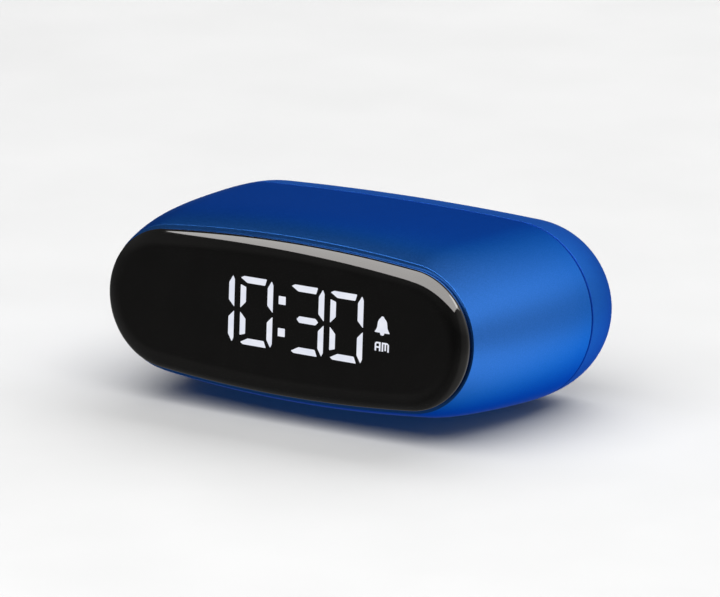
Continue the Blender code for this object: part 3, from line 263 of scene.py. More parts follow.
tracks = node(tree, "ShaderNodeMath", {0: lines[0], 1: lines[1]}, operation="MAXIMUM").outputs[0]
vary(tree, shader, tracks, ("#0A4A24", "#17713A"), (0.34, 0.26), 0.02)

# %% [markdown]
# ## Wrap, flat cable and light
#
# The cell wears a shrunk PVC sleeve. The flat cable shows its row of copper conductors through
# white polyester as faint stripes. The display's light is made by white LEDs behind a diffuser,
# so each bar glows evenly: an emission whose strength barely wavers.

# %% Wrap, cable and light
cell_wrap = grained("shrunk_pvc_wrap", ("#2258A0", "#2B68B8"), (0.22, 0.32), 3.0, 0.01, (0.2, 1.0, 1.0))

CONDUCTOR_PITCH = 1.0 * MM
WAVE_SCALE = 20   # a wave texture of scale 1 turns through this many radians in a metre
flat_cable, tree, shader = new_material("polyester_flat_cable", Roughness=0.35)
place = node(tree, "ShaderNodeTexCoord").outputs["Object"]
stripes = node(tree, "ShaderNodeTexWave",
               {"Vector": place, "Scale": 2 * math.pi / CONDUCTOR_PITCH / WAVE_SCALE},
               wave_type="BANDS", bands_direction="X")
vary(tree, shader, stripes.outputs["Fac"], ("#C9C4B4", "#E9E7DE"), (0.28, 0.40), 0.05)

lit_diffuser = grained("lit_white_diffuser", ("#E8ECFA", "#F4F6FF"), None, 2.5, coloured="Emission Color",
                       Roughness=0.25, Emission_Strength=0.9, Base_Color=(*linear("#101012"), 1.0))
print("finishes:", len(bpy.data.materials))

# %% [markdown]
# ## The rule behind the barrel
#
# Every slice of the casing is the same oval: two round ends joined by a shallow top and bottom.
# Only its width, height and end radius change with depth, each along one smooth law. A shape with
# such a rule suits Geometry Nodes: the tree takes one point for each slice, with its sizes in an
# attribute, and lays a grid round them. The same tree makes the lens, the sleeve and the cover.

# %% Oval tree
GRID_SUMS = """
rows = ADD count, again
columns = MULTIPLY_ADD steps, 4.0, 1.0
last row = SUBTRACT rows, 1.0
last column = SUBTRACT columns, 1.0
down = ADD grid x, 0.5
along = MULTIPLY down, last row
whole row = ROUND along
row = MODULO whole row, count
across = ADD grid y, 0.5
around = MULTIPLY across, last column
column = ROUND around
quarter = DIVIDE column, steps
nudged = ADD quarter, 0.0001
arc = FLOOR nudged
part of arc = SUBTRACT quarter, arc
swing = MULTIPLY_ADD part of arc, 2.0, -1.0
"""
SLICE_SUMS = """
end x = SUBTRACT wide, radius
end x squared = MULTIPLY end x, end x
spare = SUBTRACT high, radius
two spare = MULTIPLY spare, 2.0
long part = DIVIDE end x squared, two spare
sum = ADD high, radius
flat radius = MULTIPLY_ADD sum, 0.5, long part
flat z = SUBTRACT flat radius, high
spread = ARCTAN2 end x, flat z
end sweep = SUBTRACT quarter turn, spread
end angle = MULTIPLY swing, end sweep
end cosine = COSINE end angle
end sine = SINE end angle
x on end = MULTIPLY_ADD radius, end cosine, end x
z on end = MULTIPLY radius, end sine
flat angle = MULTIPLY swing, spread
flat cosine = COSINE flat angle
flat sine = SINE flat angle
x right = MULTIPLY flat radius, flat sine
x on flat = MULTIPLY x right, -1.0
z up = MULTIPLY flat radius, flat cosine
z on flat = SUBTRACT z up, flat z
is flat = MODULO arc, 2.0
arc in turn = MODULO arc, 4.0
half arcs = MULTIPLY arc in turn, 0.5
half turns = FLOOR half arcs
side = MULTIPLY_ADD half turns, -2.0, 1.0
x step = SUBTRACT x on flat, x on end
z step = SUBTRACT z on flat, z on end
x plain = MULTIPLY_ADD is flat, x step, x on end
z plain = MULTIPLY_ADD is flat, z step, z on end
x = MULTIPLY side, x plain
z = MULTIPLY side, z plain
"""


LOFT_MERGE = 0.001 * MM


def work_out(tree, sums, known):
    """Adds a line of arithmetic at a time, from lines that say: result = OPERATION value, value."""
    for line in sums.split("\n")[1:-1]:
        result, _, right_side = line.partition(" = ")
        operation, _, values = right_side.partition(" ")
        filled = {k: known[value] if value in known else float(value)
                  for k, value in enumerate(values.split(", "))}
        known[result] = node(tree, "ShaderNodeMath", filled, operation=operation).outputs[0]


def new_tree(name, *inputs):
    """A tree whose inputs are given as (name, kind) and whose one output is a shape."""
    tree = bpy.data.node_groups.new(name, "GeometryNodeTree")
    for label, kind in inputs:
        tree.interface.new_socket(label, in_out="INPUT", socket_type=f"NodeSocket{kind}")
    tree.interface.new_socket("Result", in_out="OUTPUT", socket_type="NodeSocketGeometry")
    return tree, node(tree, "NodeGroupInput").outputs


def end_tree(tree, shape, finish):
    """Makes any copies real, sets the finish and hands the shape out."""
    real = node(tree, "GeometryNodeRealizeInstances", {"Geometry": shape}).outputs["Geometry"]
    done = node(tree, "GeometryNodeSetMaterial", {"Geometry": real, "Material": finish})
    node(tree, "NodeGroupOutput", {"Result": done.outputs["Geometry"]})
    return tree


def attribute(tree, name):
    """The vectors that the points carry under a name."""
    found = node(tree, "GeometryNodeInputNamedAttribute", {"Name": name}, data_type="FLOAT_VECTOR")
    return found.outputs["Attribute"]


def oval_tree():
    """A tree that lofts ovals through points whose attribute holds half width, half height, radius."""
    tree, given = new_tree("loft through ovals", ("Slices", "Geometry"), ("Steps in an arc", "Int"),
                           ("Back to the first slice", "Int"), ("Finish", "Material"))
    position = node(tree, "GeometryNodeInputPosition").outputs["Position"]
    corner = node(tree, "ShaderNodeSeparateXYZ", {"Vector": position}).outputs
    size_of = node(tree, "GeometryNodeAttributeDomainSize", {"Geometry": given["Slices"]},
                   component="MESH")
    known = {"count": size_of.outputs["Point Count"], "steps": given["Steps in an arc"],
             "again": given["Back to the first slice"], "grid x": corner["X"], "grid y": corner["Y"],
             "quarter turn": math.pi / 2}
    work_out(tree, GRID_SUMS, known)
    grid = node(tree, "GeometryNodeMeshGrid", {"Vertices X": known["rows"],
                                               "Vertices Y": known["columns"]}).outputs["Mesh"]
    looked_up = []
    for value in (attribute(tree, "sizes"), position):
        sample = node(tree, "GeometryNodeSampleIndex", {"Geometry": given["Slices"], "Value": value,
                                                        "Index": known["row"]}, data_type="FLOAT_VECTOR")
        looked_up.append(node(tree, "ShaderNodeSeparateXYZ", {"Vector": sample.outputs["Value"]}).outputs)
    known.update(zip(("wide", "high", "radius"), looked_up[0]))
    work_out(tree, SLICE_SUMS, known)
    place = node(tree, "ShaderNodeCombineXYZ", {"X": known["x"], "Y": looked_up[1]["Y"], "Z": known["z"]})
    shell = node(tree, "GeometryNodeSetPosition", {"Geometry": grid, "Position": place.outputs["Vector"]})
    shell = node(tree, "GeometryNodeMergeByDistance", {"Geometry": shell.outputs["Geometry"],
                                                       "Distance": LOFT_MERGE})
    return end_tree(tree, shell.outputs["Geometry"], given["Finish"])


loft_through_ovals = oval_tree()
print("oval tree:", len(loft_through_ovals.nodes), "nodes")

# %% [markdown]
# ## From a tree to a plain mesh
#
# A modifier's inputs are set by their identifiers before the first evaluation. The evaluated result
# is copied to a plain mesh, open ends are closed, normals are made to face outwards, and the mesh is
# leaned with the body. Then the piece rides on a body of the frame and stands in for the engineering
# parts that it is a finer form of.

# %% Mesh helpers
SMOOTH_ANGLE = math.radians(32)
SAME_POINT = 0.0005 * MM


def closed(shape, name="solid", place=Matrix.Identity(4)):
    """Closes a bmesh, turns its faces outwards, places it and makes it a mesh."""
    bmesh.ops.remove_doubles(shape, verts=shape.verts, dist=SAME_POINT)
    bmesh.ops.holes_fill(shape, edges=[edge for edge in shape.edges if edge.is_boundary], sides=0)
    bmesh.ops.recalc_face_normals(shape, faces=shape.faces)
    bmesh.ops.transform(shape, matrix=place, verts=shape.verts)
    mesh = bpy.data.meshes.new(name)
    shape.to_mesh(mesh)
    shape.free()
    return mesh


def finished(name, shape, material, stands_for="", body="case", place=BODY):
    """Turns a bmesh, drawn in the body's axes, into a piece at the origin that rides on a body."""
    mesh = closed(shape, name, place)
    mesh.materials.clear()
    mesh.materials.append(material)
    mesh.shade_smooth()
    mesh.set_sharp_from_angle(angle=SMOOTH_ANGLE)
    piece = in_scene(name, mesh)
    if body:
        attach(piece, body)
    if stands_for:
        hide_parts(*stands_for.split())
    return piece


def evaluated(guide):
    """What a guide's modifiers make of it, as a bmesh. The guide goes."""
    graph = bpy.context.evaluated_depsgraph_get()
    mesh = bpy.data.meshes.new_from_object(guide.evaluated_get(graph), depsgraph=graph)
    bpy.data.objects.remove(guide, do_unlink=True)
    shape = bmesh.new()
    shape.from_mesh(mesh)
    return shape


def points(places, name, vectors):
    """A guide of loose points that each carry a vector under a name."""
    mesh = bpy.data.meshes.new("points")
    mesh.from_pydata(places, [], [])
    carried = mesh.attributes.new(name, "FLOAT_VECTOR", "POINT")
    for item, vector in zip(carried.data, vectors):
        item.vector = vector
    return in_scene("points", mesh)


def grown(guide, tree, **values):
    """Runs a Geometry Nodes tree on a guide and returns the result as a bmesh."""
    modifier = guide.modifiers.new("grow", "NODES")
    modifier.node_group = tree
    for item in tree.interface.items_tree:
        if item.in_out == "INPUT" and item.name in values:
            modifier[item.identifier] = values[item.name]
    return evaluated(guide)


def oval_loft(slices, finish, steps, ring=False):
    """Lofts slices given as (depth, half width, half height, end radius)."""
    guide = points([(0, depth, 0) for depth, *_ in slices], "sizes", [size for _, *size in slices])
    return grown(guide, loft_through_ovals, **{"Steps in an arc": steps, "Finish": finish,
                                               "Back to the first slice": int(ring)})


# %% [markdown]
# ## The laws of the barrel
#
# The sides swell quickly behind the lens and the top swells quicker still, both along a power
# curve. Behind the widest slice the corners round off like a superellipse, down to a small flat.

# %% Slices of the body
BODY_WIDTH = 95.6 * MM
BODY_HEIGHT = 37.53 * MM
BODY_DEPTH = 52.4 * MM
WIDEST_AT = 34.4 * MM
SEAM_AT = 37.8 * MM
GAP = 0.3 * MM
FRONT_POWERS = (1.95, 6.6)   # for the width and the height
REAR_POWERS = (2.15, 3.2)
REAR_FLAT = (82.0 * MM, 14.0 * MM)
FRONT_ROUNDNESS = 0.908
REAR_ROUNDNESS = 0.963
LENS_HEIGHT = 31.0 * MM


def half_size(depth, full, at_lens, at_rear, front_power, rear_power):
    """Half width or half height of the barrel at a depth."""
    if depth < WIDEST_AT:
        return full / 2 - (full - at_lens) / 2 * (1 - depth / WIDEST_AT) ** front_power
    share = min(1.0, (depth - WIDEST_AT) / (BODY_DEPTH - WIDEST_AT))
    return full / 2 - (full - at_rear) / 2 * (1 - (1 - share ** rear_power) ** (1 / rear_power))


def body_slice(depth, inset=0.0, at=None):
    """The body's oval at a depth, drawn in by inset and placed at another depth if asked."""
    wide = half_size(depth, BODY_WIDTH, LENS_WIDTH, REAR_FLAT[0], FRONT_POWERS[0], REAR_POWERS[0])
    high = half_size(depth, BODY_HEIGHT, LENS_HEIGHT, REAR_FLAT[1], FRONT_POWERS[1], REAR_POWERS[1])
    round_share = FRONT_ROUNDNESS + (REAR_ROUNDNESS - FRONT_ROUNDNESS) * min(1.0, depth / WIDEST_AT)
    return (depth if at is None else at, wide - inset, high - inset, round_share * high - inset)


def lens_slice(depth, inset):
    """The lens's oval at a depth, drawn in by inset."""
    high = LENS_HEIGHT / 2
    return (depth, LENS_WIDTH / 2 - inset, high - inset, FRONT_ROUNDNESS * high - inset)


print("widest slice (mm):", [round(value / MM, 2) for value in body_slice(WIDEST_AT)])

# %% [markdown]
# ## The smoked lens
#
# The lens is one polished plate of smoked acrylic, 2.8 mm thick. Its rim rolls back in a wide arc
# that catches a long strip of light, and ends in a small rounded edge. Behind that, the straight
# side ends in a small bevel where it meets the tape.

# %% Lens
LENS_BACK = 1.2 * MM
BACK_BEVEL, BEVEL_BOW = 0.3 * MM, 0.09 * MM
LENS_FACE = -1.58 * MM
LENS_RIM = 4.0 * MM
RIM_RADIUS = 5.2 * MM
RIM_EDGE = 0.15 * MM
RIM_FOOT = ((0.40 * MM, 0.0), (0.26 * MM, 0.04 * MM))  # where the straight side turns into the rim
RIM_STEPS = 28

slices = [lens_slice(*at) for at in ((LENS_BACK, BACK_BEVEL), (LENS_BACK - BEVEL_BOW, BEVEL_BOW),
                                     (LENS_BACK - BACK_BEVEL, 0.0), *RIM_FOOT)]
steepest = math.asin((LENS_RIM - RIM_EDGE) / RIM_RADIUS)
for k in range(RIM_STEPS + 1):
    angle = steepest * (1 - k / RIM_STEPS)
    slices.append(lens_slice(LENS_FACE + RIM_RADIUS * (1 - math.cos(angle)),
                             LENS_RIM - RIM_RADIUS * math.sin(angle)))
lens = finished("smoked_lens", oval_loft(slices, smoked_acrylic, 56), smoked_acrylic, "front_lens")
print("lens:", len(lens.data.polygons), "faces")

# %% [markdown]
# ## The aluminium sleeve
#
# A drawn tube, open at the rear, with a flange in front that carries the lens. Its front lip has a
# fine radius, and its rear edge a chamfer, which shows as the line of the seam. The
# loft goes along the outside, turns at the rear edge and comes back along the inside.

# %% Sleeve
SLEEVE_FRONT = 1.5 * MM
SLEEVE_WALL = 1.8 * MM
FLANGE_BACK = 4.4 * MM
TAPE_LEDGE = 2.2 * MM
TAPE_INSET = 1.5 * MM
WINDOW_INSET = 3.6 * MM
SEAM_CHAMFER = 0.4 * MM
LIP = 0.03 * MM
LIP_STEPS, SIDE_STEPS = 4, 36
CROWDING = 1.7                   # above 1, slices stand closer together near the lens
INSIDE_PICK = slice(14, -1, 3)   # the inside needs fewer slices
EDGE_SHARES = (0.12, 0.88)       # slices near both ends of a chamfer keep its face flat

slices = [body_slice(SLEEVE_FRONT + LIP * (1 - math.sin(a)), LIP * (1 - math.cos(a)))
          for a in (math.pi / 2 * (1 - k / LIP_STEPS) for k in range(LIP_STEPS + 1))]
outside = [SLEEVE_FRONT + LIP + (WIDEST_AT - SLEEVE_FRONT - LIP) * (k / SIDE_STEPS) ** CROWDING
           for k in range(1, SIDE_STEPS + 1)]
sleeve_end = SEAM_AT - GAP / 2
outside.append(sleeve_end - SEAM_CHAMFER)
slices += [body_slice(depth) for depth in outside]
slices += [body_slice(sleeve_end - SEAM_CHAMFER * (1 - share), SEAM_CHAMFER * share)
           for share in (*EDGE_SHARES, 1.0)]
slices.append(body_slice(sleeve_end, SLEEVE_WALL))
slices += [body_slice(depth, SLEEVE_WALL) for depth in reversed(outside[INSIDE_PICK])]
slices += [body_slice(FLANGE_BACK, SLEEVE_WALL), lens_slice(FLANGE_BACK, WINDOW_INSET),
           lens_slice(TAPE_LEDGE, WINDOW_INSET), lens_slice(TAPE_LEDGE, TAPE_INSET - GAP),
           lens_slice(SLEEVE_FRONT, TAPE_INSET - GAP)]
sleeve = finished("blasted_sleeve", oval_loft(slices, anodised_aluminium, 48, ring=True),
                  anodised_aluminium, "body_sleeve")
print("sleeve:", len(sleeve.data.polygons), "faces")

# %% [markdown]
# ## Turned and rounded blocks
#
# Nearly every small part is one of two things: a profile turned about its own axis, or a block with
# rounded corners whose outline changes a little with depth. Both are lofts, so both are a few lines
# of mesh code, and small edge radii are simply more slices.

# %% Block helpers
def bridged(shape, loops):
    """Joins neighbouring loops of a bmesh with faces."""
    for near, far in zip(loops, loops[1:]):
        for k in range(len(near)):
            after = (k + 1) % len(near)
            shape.faces.new((near[k], near[after], far[after], far[k]))
    return shape


def rounded_loft(levels, centre=(0.0, 0.0), corner_steps=8, into=None):
    """Rounded rectangles (depth, width, height, corner radius) joined along Y."""
    shape = into or bmesh.new()
    loops = []
    for depth, width, height, radius in levels:
        loop = []
        for corner, (sign_x, sign_z) in enumerate(((1, 1), (-1, 1), (-1, -1), (1, -1))):
            x = centre[0] + sign_x * (width / 2 - radius)
            z = centre[1] + sign_z * (height / 2 - radius)
            for step in range(corner_steps + 1):
                angle = math.pi / 2 * (corner + step / corner_steps)
                loop.append(shape.verts.new((x + radius * math.cos(angle), depth,
                                             z + radius * math.sin(angle))))
        loops.append(loop)
    return bridged(shape, loops)


def turned(profile, centre=(0.0, 0.0), steps=48, into=None):
    """A profile of (radius, depth) turned about an axis along Y."""
    shape = into or bmesh.new()
    loops = []
    for radius, depth in profile:
        loops.append([shape.verts.new((centre[0] + radius * math.cos(2 * math.pi * k / steps), depth,
                                       centre[1] + radius * math.sin(2 * math.pi * k / steps)))
                      for k in range(steps)])
    return bridged(shape, loops)


def block(first, last, size, centre, corner=0.2 * MM, edge=0.12 * MM, into=None):
    """A moulded block along Y with rounded corners and softened ends."""
    width, height = size
    levels = [(first, width - 2 * edge, height - 2 * edge, corner),
              (first + edge * 0.3, width - edge * 0.6, height - edge * 0.6, corner),
              (first + edge, width, height, corner + edge * 0.5),
              (last - edge, width, height, corner + edge * 0.5),
              (last - edge * 0.3, width - edge * 0.6, height - edge * 0.6, corner),
              (last, width - 2 * edge, height - 2 * edge, corner)]
    return rounded_loft(levels, centre, 4, into)


def combined(shape, tool, operation="DIFFERENCE"):
    """One bmesh joined with another or cut by it."""
    base, other = (in_scene("guide", closed(part)) for part in (shape, tool))
    modifier = base.modifiers.new("combine", "BOOLEAN")
    modifier.operation = operation
    modifier.solver = "EXACT"
    modifier.object = other
    result = evaluated(base)
    bpy.data.objects.remove(other, do_unlink=True)
    return result


# %% [markdown]
# ## The rear cover
#
# The cover closes the barrel: it continues the barrel's curve from the seam to the small rear flat.
# Its openings are cut with tools that flare at the skin, so each gets the fine chamfer that a real
# mould has, and no edge is razor sharp.

# %% Cover
COVER_FLOOR = 50.4 * MM
COVER_WALL = 2.0 * MM
SPIGOT_LENGTH = 4.0 * MM
SPIGOT_INSIDE = 3.3 * MM
COVER_START = SEAM_AT + GAP / 2
COVER_SCREW_X = 38.5 * MM
COVER_BOSS_TIP = 40.4 * MM
HEAD_SEAT = 50.2 * MM
ON_BUTTON_BOARD = 45.5 * MM
BUTTON_SCREW = (28.5 * MM, -8.6 * MM)
BOSS_ROOT = COVER_FLOOR + 0.4 * MM
BOSSES = ((3.5 * MM, COVER_BOSS_TIP, (COVER_SCREW_X, 0)), (2.3 * MM, ON_BUTTON_BOARD, BUTTON_SCREW))
SHANK_ROOM, HEAD_ROOM, PILOT = 1.65 * MM, 2.65 * MM, 1.35 * MM   # radii
PILOT_END = 48.4 * MM
PAST = 1 * MM   # a cutting tool ends this far outside what it cuts
CONTROL_Z = 3.0 * MM
BUTTON_X = {"time_set": -14.0 * MM, "alarm_set": -5.0 * MM, "plus": 4.0 * MM, "minus": 13.0 * MM}
BUTTON_RADIUS = 2.8 * MM
SLIDER_X = -25.0 * MM
SLIDER_KNOB = (4.4 * MM, 2.8 * MM)
SLIDER_TRAVEL = 3.0 * MM
PORT_X = 24.0 * MM
PORT_SIZE = (8.94 * MM, 3.2 * MM)
SOUND_Z = -6.2 * MM
SOUND_SLOT = (1.2 * MM, 4.4 * MM)
SOUND_PITCH = 2.6 * MM
FLARE = 0.22 * MM
COVER_EDGE = 0.01 * MM


def rear_depths(first, last, count):
    """Depths from first to last, closer together where the corner turns."""
    ends = [math.asin((depth - WIDEST_AT) / (BODY_DEPTH - WIDEST_AT)) for depth in (first, last)]
    return [WIDEST_AT + (BODY_DEPTH - WIDEST_AT) * math.sin(ends[0] + (ends[1] - ends[0]) * k / count)
            for k in range(count + 1)]


def opening(size, centre, corner, into):
    """A cutting tool through the rear wall that flares at the outer skin."""
    width, height = size
    wider = (width + 2 * FLARE, height + 2 * FLARE, corner + FLARE)
    levels = [(COVER_FLOOR - 2 * MM, width, height, corner), (BODY_DEPTH - FLARE, width, height, corner),
              (BODY_DEPTH, *wider), (BODY_DEPTH + PAST, *wider)]
    rounded_loft(levels, centre, 12, into)


squeeze = (COVER_FLOOR - COVER_START) / (BODY_DEPTH - COVER_START)
slices = [body_slice(depth, COVER_WALL, COVER_START + (depth - COVER_START) * squeeze)
          for depth in reversed(rear_depths(COVER_START + 2.5 * MM, BODY_DEPTH, 14))]
slices += [body_slice(depth, inset) for depth, inset in
           ((COVER_START, SPIGOT_INSIDE), (SEAM_AT - SPIGOT_LENGTH, SPIGOT_INSIDE),
            (SEAM_AT - SPIGOT_LENGTH, SLEEVE_WALL + GAP), (COVER_START, SLEEVE_WALL + GAP))]
slices += [body_slice(COVER_START + COVER_EDGE * share, COVER_EDGE * (1 - share))
           for share in (0.0, *EDGE_SHARES)]
slices += [body_slice(depth) for depth in rear_depths(COVER_START + COVER_EDGE, BODY_DEPTH, 40)]
shell = oval_loft(slices, painted_blue, 48)

bosses, tools = bmesh.new(), bmesh.new()
for side in (-1, 1):
    for radius, tip, (x, z) in BOSSES:
        turned([(radius, tip), (radius, BOSS_ROOT)], (side * x, z), 40, bosses)
    turned([(SHANK_ROOM, COVER_BOSS_TIP - PAST), (SHANK_ROOM, HEAD_SEAT), (HEAD_ROOM, HEAD_SEAT),
            (HEAD_ROOM, BODY_DEPTH - FLARE), (HEAD_ROOM + FLARE, BODY_DEPTH),
            (HEAD_ROOM + FLARE, BODY_DEPTH + PAST)], (side * COVER_SCREW_X, 0), 48, tools)
    turned([(PILOT, ON_BUTTON_BOARD - PAST), (PILOT, PILOT_END)],
           (side * BUTTON_SCREW[0], BUTTON_SCREW[1]), 24, tools)
shell = combined(shell, bosses, "UNION")
for x in BUTTON_X.values():
    hole = 2 * (BUTTON_RADIUS + GAP)
    opening((hole, hole), (x, CONTROL_Z), hole / 2, tools)
opening((SLIDER_KNOB[0] + SLIDER_TRAVEL + 2 * GAP, SLIDER_KNOB[1] + 2 * GAP), (SLIDER_X, CONTROL_Z),
        GAP, tools)
opening((PORT_SIZE[0] + 2 * GAP, PORT_SIZE[1] + 2 * GAP), (PORT_X, CONTROL_Z),
        PORT_SIZE[1] / 2 + GAP, tools)
for k in range(-2, 3):
    opening(SOUND_SLOT, (k * SOUND_PITCH, SOUND_Z), SOUND_SLOT[0] / 2, tools)
cover = finished("satin_cover", combined(shell, tools), painted_blue, "rear_cover")
print("cover:", len(cover.data.polygons), "faces")

# %% [markdown]
# ## Flat signs with an outline
#
# Bars, bell, letters and the marks on the buttons are all flat shapes with a thickness. A filled 2D
# curve turns an outline with holes into a clean plate, and each corner is rounded a little first,
# because a light well or a print never has a perfectly sharp corner.

# %% Flat shapes
SMOOTH_COUNT = 30   # an outline with this many points is smooth as it is


def softened(outline, radius):
    """The outline with each corner rounded by a short three-point arc."""
    points = [Vector(point) for point in outline]
    result = []
    for before, here, after in zip(points[-1:] + points[:-1], points, points[1:] + points[:1]):
        to_before, to_after = before - here, after - here
        reach = min(radius, to_before.length * 0.4, to_after.length * 0.4)
        start, end = here + to_before.normalized() * reach, here + to_after.normalized() * reach
        result += [start, (start + end) / 4 + here / 2, end]
    return result


def ring_outline(centre, radius, count=40):
    return [(centre[0] + radius * math.cos(2 * math.pi * k / count),
             centre[1] + radius * math.sin(2 * math.pi * k / count)) for k in range(count)]


def plate(outlines, first, last, corner=0.1 * MM):
    """A bmesh of flat outlines (x, z), with holes where one lies inside another."""
    curve = bpy.data.curves.new("plate", "CURVE")
    curve.dimensions = "2D"
    curve.fill_mode = "BOTH"
    curve.extrude = (last - first) / 2
    for outline in outlines:
        rounded = softened(outline, corner) if len(outline) < SMOOTH_COUNT else outline
        spline = curve.splines.new("POLY")
        spline.points.add(len(rounded) - 1)
        for point, (x, z) in zip(spline.points, rounded):
            point.co = (x, z, 0.0, 1.0)
        spline.use_cyclic_u = True
    shape = evaluated(in_scene("plate", curve))
    upright = Matrix.Translation((0, (first + last) / 2, 0)) @ Matrix.Rotation(math.pi / 2, 4, "X")
    bmesh.ops.transform(shape, matrix=upright, verts=shape.verts)
    return shape


# %% [markdown]
# ## The lit display
#
# Each digit has seven bars behind the smoked lens. Their light leaves through the front face with
# no visible depth, and a path through dark acrylic would be slow and noisy to trace. So the lit
# bars are thin plates laid into the lens's face, a hundredth of a millimetre proud. The time shown,
# the bell and the morning sign are generic.

# %% Lit display
DIGIT_HEIGHT = 13.7 * MM
DIGIT_WIDTH = 7.7 * MM
STROKE = 1.3 * MM
DIGIT_PITCH = 9.15 * MM
PAIR_OFFSET = 10.6 * MM
DISPLAY_X = 0.3 * MM
DISPLAY_Z = 0.85 * MM
COLON_DOT = 1.65 * MM
COLON_HEIGHT = 3.2 * MM
LIGHT_FRONT = LENS_FACE - 0.01 * MM
LIGHT_BACK = LENS_FACE + 0.05 * MM


def lit(name, outlines, corner):
    """Lit plates in the lens's face."""
    finished(name, plate(outlines, LIGHT_FRONT, LIGHT_BACK, corner), lit_diffuser)


def digit_bars():
    """The seven bars about the digit's centre; the upright bars own the right-hand corners."""
    w, h, s, c = DIGIT_WIDTH / 2, DIGIT_HEIGHT / 2, STROKE, STROKE * 0.3
    bars = {
        "a": [(-w, h - c), (-w + 2 * c, h), (w - 4 * c, h), (w - 5 * c, h - s), (-w + 4 * c, h - s)],
        "b": [(w - c, h - c / 2), (w, h - 2.5 * c), (w, c), (w - s, s + c), (w - s, h - 4.3 * c)],
        "d": [(-w + c / 2, -h + c), (-w + 2 * c, -h), (w - 3.6 * c, -h), (w - 5 * c, -h + s),
              (-w + 5 * c, -h + s)],
        "f": [(-w, h - 4.5 * c), (-w + s, h - 5.5 * c), (-w + s, s + c), (-w, c)],
        "g": [(-w + s, 0), (-w + 1.5 * s, s / 2), (w - 1.5 * s, s / 2), (w - s, 0),
              (w - 1.5 * s, -s / 2), (-w + 1.5 * s, -s / 2)],
    }
    bars["e"] = [(x, -z) for x, z in bars["f"]]
    bars["c"] = [(x, -z) for x, z in bars["b"]]
    return bars


TIME_SHOWN = ("bc", "abcdef", "abcdg", "abcdef")
digit_places = [DISPLAY_X + pair * PAIR_OFFSET + side * DIGIT_PITCH / 2
                for pair in (-1, 1) for side in (-1, 1)]
bars = digit_bars()
for number, (x, shown) in enumerate(zip(digit_places, TIME_SHOWN), 1):
    lit(f"lit_digit_{number}", [[(x + u, DISPLAY_Z + v) for u, v in bars[bar]] for bar in shown], 0.16 * MM)
half = COLON_DOT / 2
square = [(-half, -half), (half, -half), (half, half), (-half, half)]
dots = [[(DISPLAY_X + u, DISPLAY_Z + side * COLON_HEIGHT + v) for u, v in square] for side in (-1, 1)]
lit("lit_colon", dots, 0.12 * MM)

BELL = ((0.0, 3.80), (0.28, 3.70), (0.45, 3.42), (0.78, 3.12), (1.02, 2.70), (1.12, 2.15), (1.20, 1.50),
        (1.40, 1.08), (1.72, 0.62), (1.66, 0.50), (0.52, 0.50), (0.42, 0.15), (0.20, 0.0))
BELL_FOOT = (23.80 * MM, 0.45 * MM)


def bell_outline(centre, scale=1.0):
    """A hand bell: a crowned dome, a flared mouth and the clapper below."""
    half_bell = [(x * scale, z * scale) for x, z in BELL]
    full = half_bell + [(-x, z) for x, z in reversed(half_bell) if x > 0]
    return [(centre[0] + x * MM, centre[1] + z * MM) for x, z in full]


lit("lit_bell", [bell_outline(BELL_FOOT)], 0.08 * MM)

LETTER_A = (((0.0, 0.0), (0.0, 1.45), (0.35, 1.8), (1.35, 1.8), (1.35, 0.0), (1.0, 0.0), (1.0, 0.6),
             (0.35, 0.6), (0.35, 0.0)),
            ((0.35, 0.92), (0.35, 1.35), (0.48, 1.48), (1.0, 1.48), (1.0, 0.92)))
LETTER_M = (((0.0, 0.0), (0.0, 1.8), (1.27, 1.8), (1.66, 1.45), (1.66, 0.0), (1.31, 0.0), (1.31, 1.48),
             (1.00, 1.48), (1.00, 0.2), (0.66, 0.2), (0.66, 1.48), (0.35, 1.48), (0.35, 0.0)),)
HALF_DAY = ((22.18, LETTER_A), (23.80, LETTER_M))
HALF_DAY_Z = -2.72
outlines = [[((x + u) * MM, (HALF_DAY_Z + v) * MM) for u, v in outline]
            for x, letter in HALF_DAY for outline in letter]
lit("lit_half_day_sign", outlines, 0.05 * MM)
print("lit pieces:", len(TIME_SHOWN) + 3)

# %% [markdown]
# ## Push buttons
#
# Four moulded buttons stand 0.7 mm proud of the rear. Each is turned, with a rounded shoulder and a
# slightly dished top for the fingertip, and carries one printed mark: a clock face, a bell, a plus
# and a minus. Button and mark ride on the button's own body, so both go down when it is pressed.

# %% Buttons
BUTTON_BACK = 53.1 * MM
BUTTON_FLANGE = (49.3 * MM, 50.1 * MM, 3.7 * MM)
SHOULDER = 0.3 * MM
DISH = 0.10 * MM
MARK_FRONT, MARK_FACE = BUTTON_BACK - 0.25 * MM, BUTTON_BACK - DISH + 0.05 * MM
FLANGE_EDGE = 0.1 * MM
SHOULDER_STEPS = 6
DISH_SHARES = (0.9, 0.75, 0.5, 0.25, 0.06)
ARM = 0.36 * MM
REACH = 1.15 * MM
CROSS = [
    (ARM / 2, ARM / 2), (ARM / 2, REACH), (-ARM / 2, REACH), (-ARM / 2, ARM / 2), (-REACH, ARM / 2),
    (-REACH, -ARM / 2), (-ARM / 2, -ARM / 2), (-ARM / 2, -REACH), (ARM / 2, -REACH), (ARM / 2, -ARM / 2),
    (REACH, -ARM / 2), (REACH, ARM / 2)]
BAR = [(-REACH, -ARM / 2), (REACH, -ARM / 2), (REACH, ARM / 2), (-REACH, ARM / 2)]
HANDS = [(-ARM / 3, -ARM / 3), (0.55 * REACH, -ARM / 3), (0.55 * REACH, ARM / 3), (ARM / 3, ARM / 3),
         (ARM / 3, 0.75 * REACH), (-ARM / 3, 0.75 * REACH)]
MARKS = {"time_set": [ring_outline((0, 0), REACH * 1.2), ring_outline((0, 0), REACH * 0.98), HANDS],
         "alarm_set": [bell_outline((0, -1.15 * MM), 0.6)], "plus": [CROSS], "minus": [BAR]}

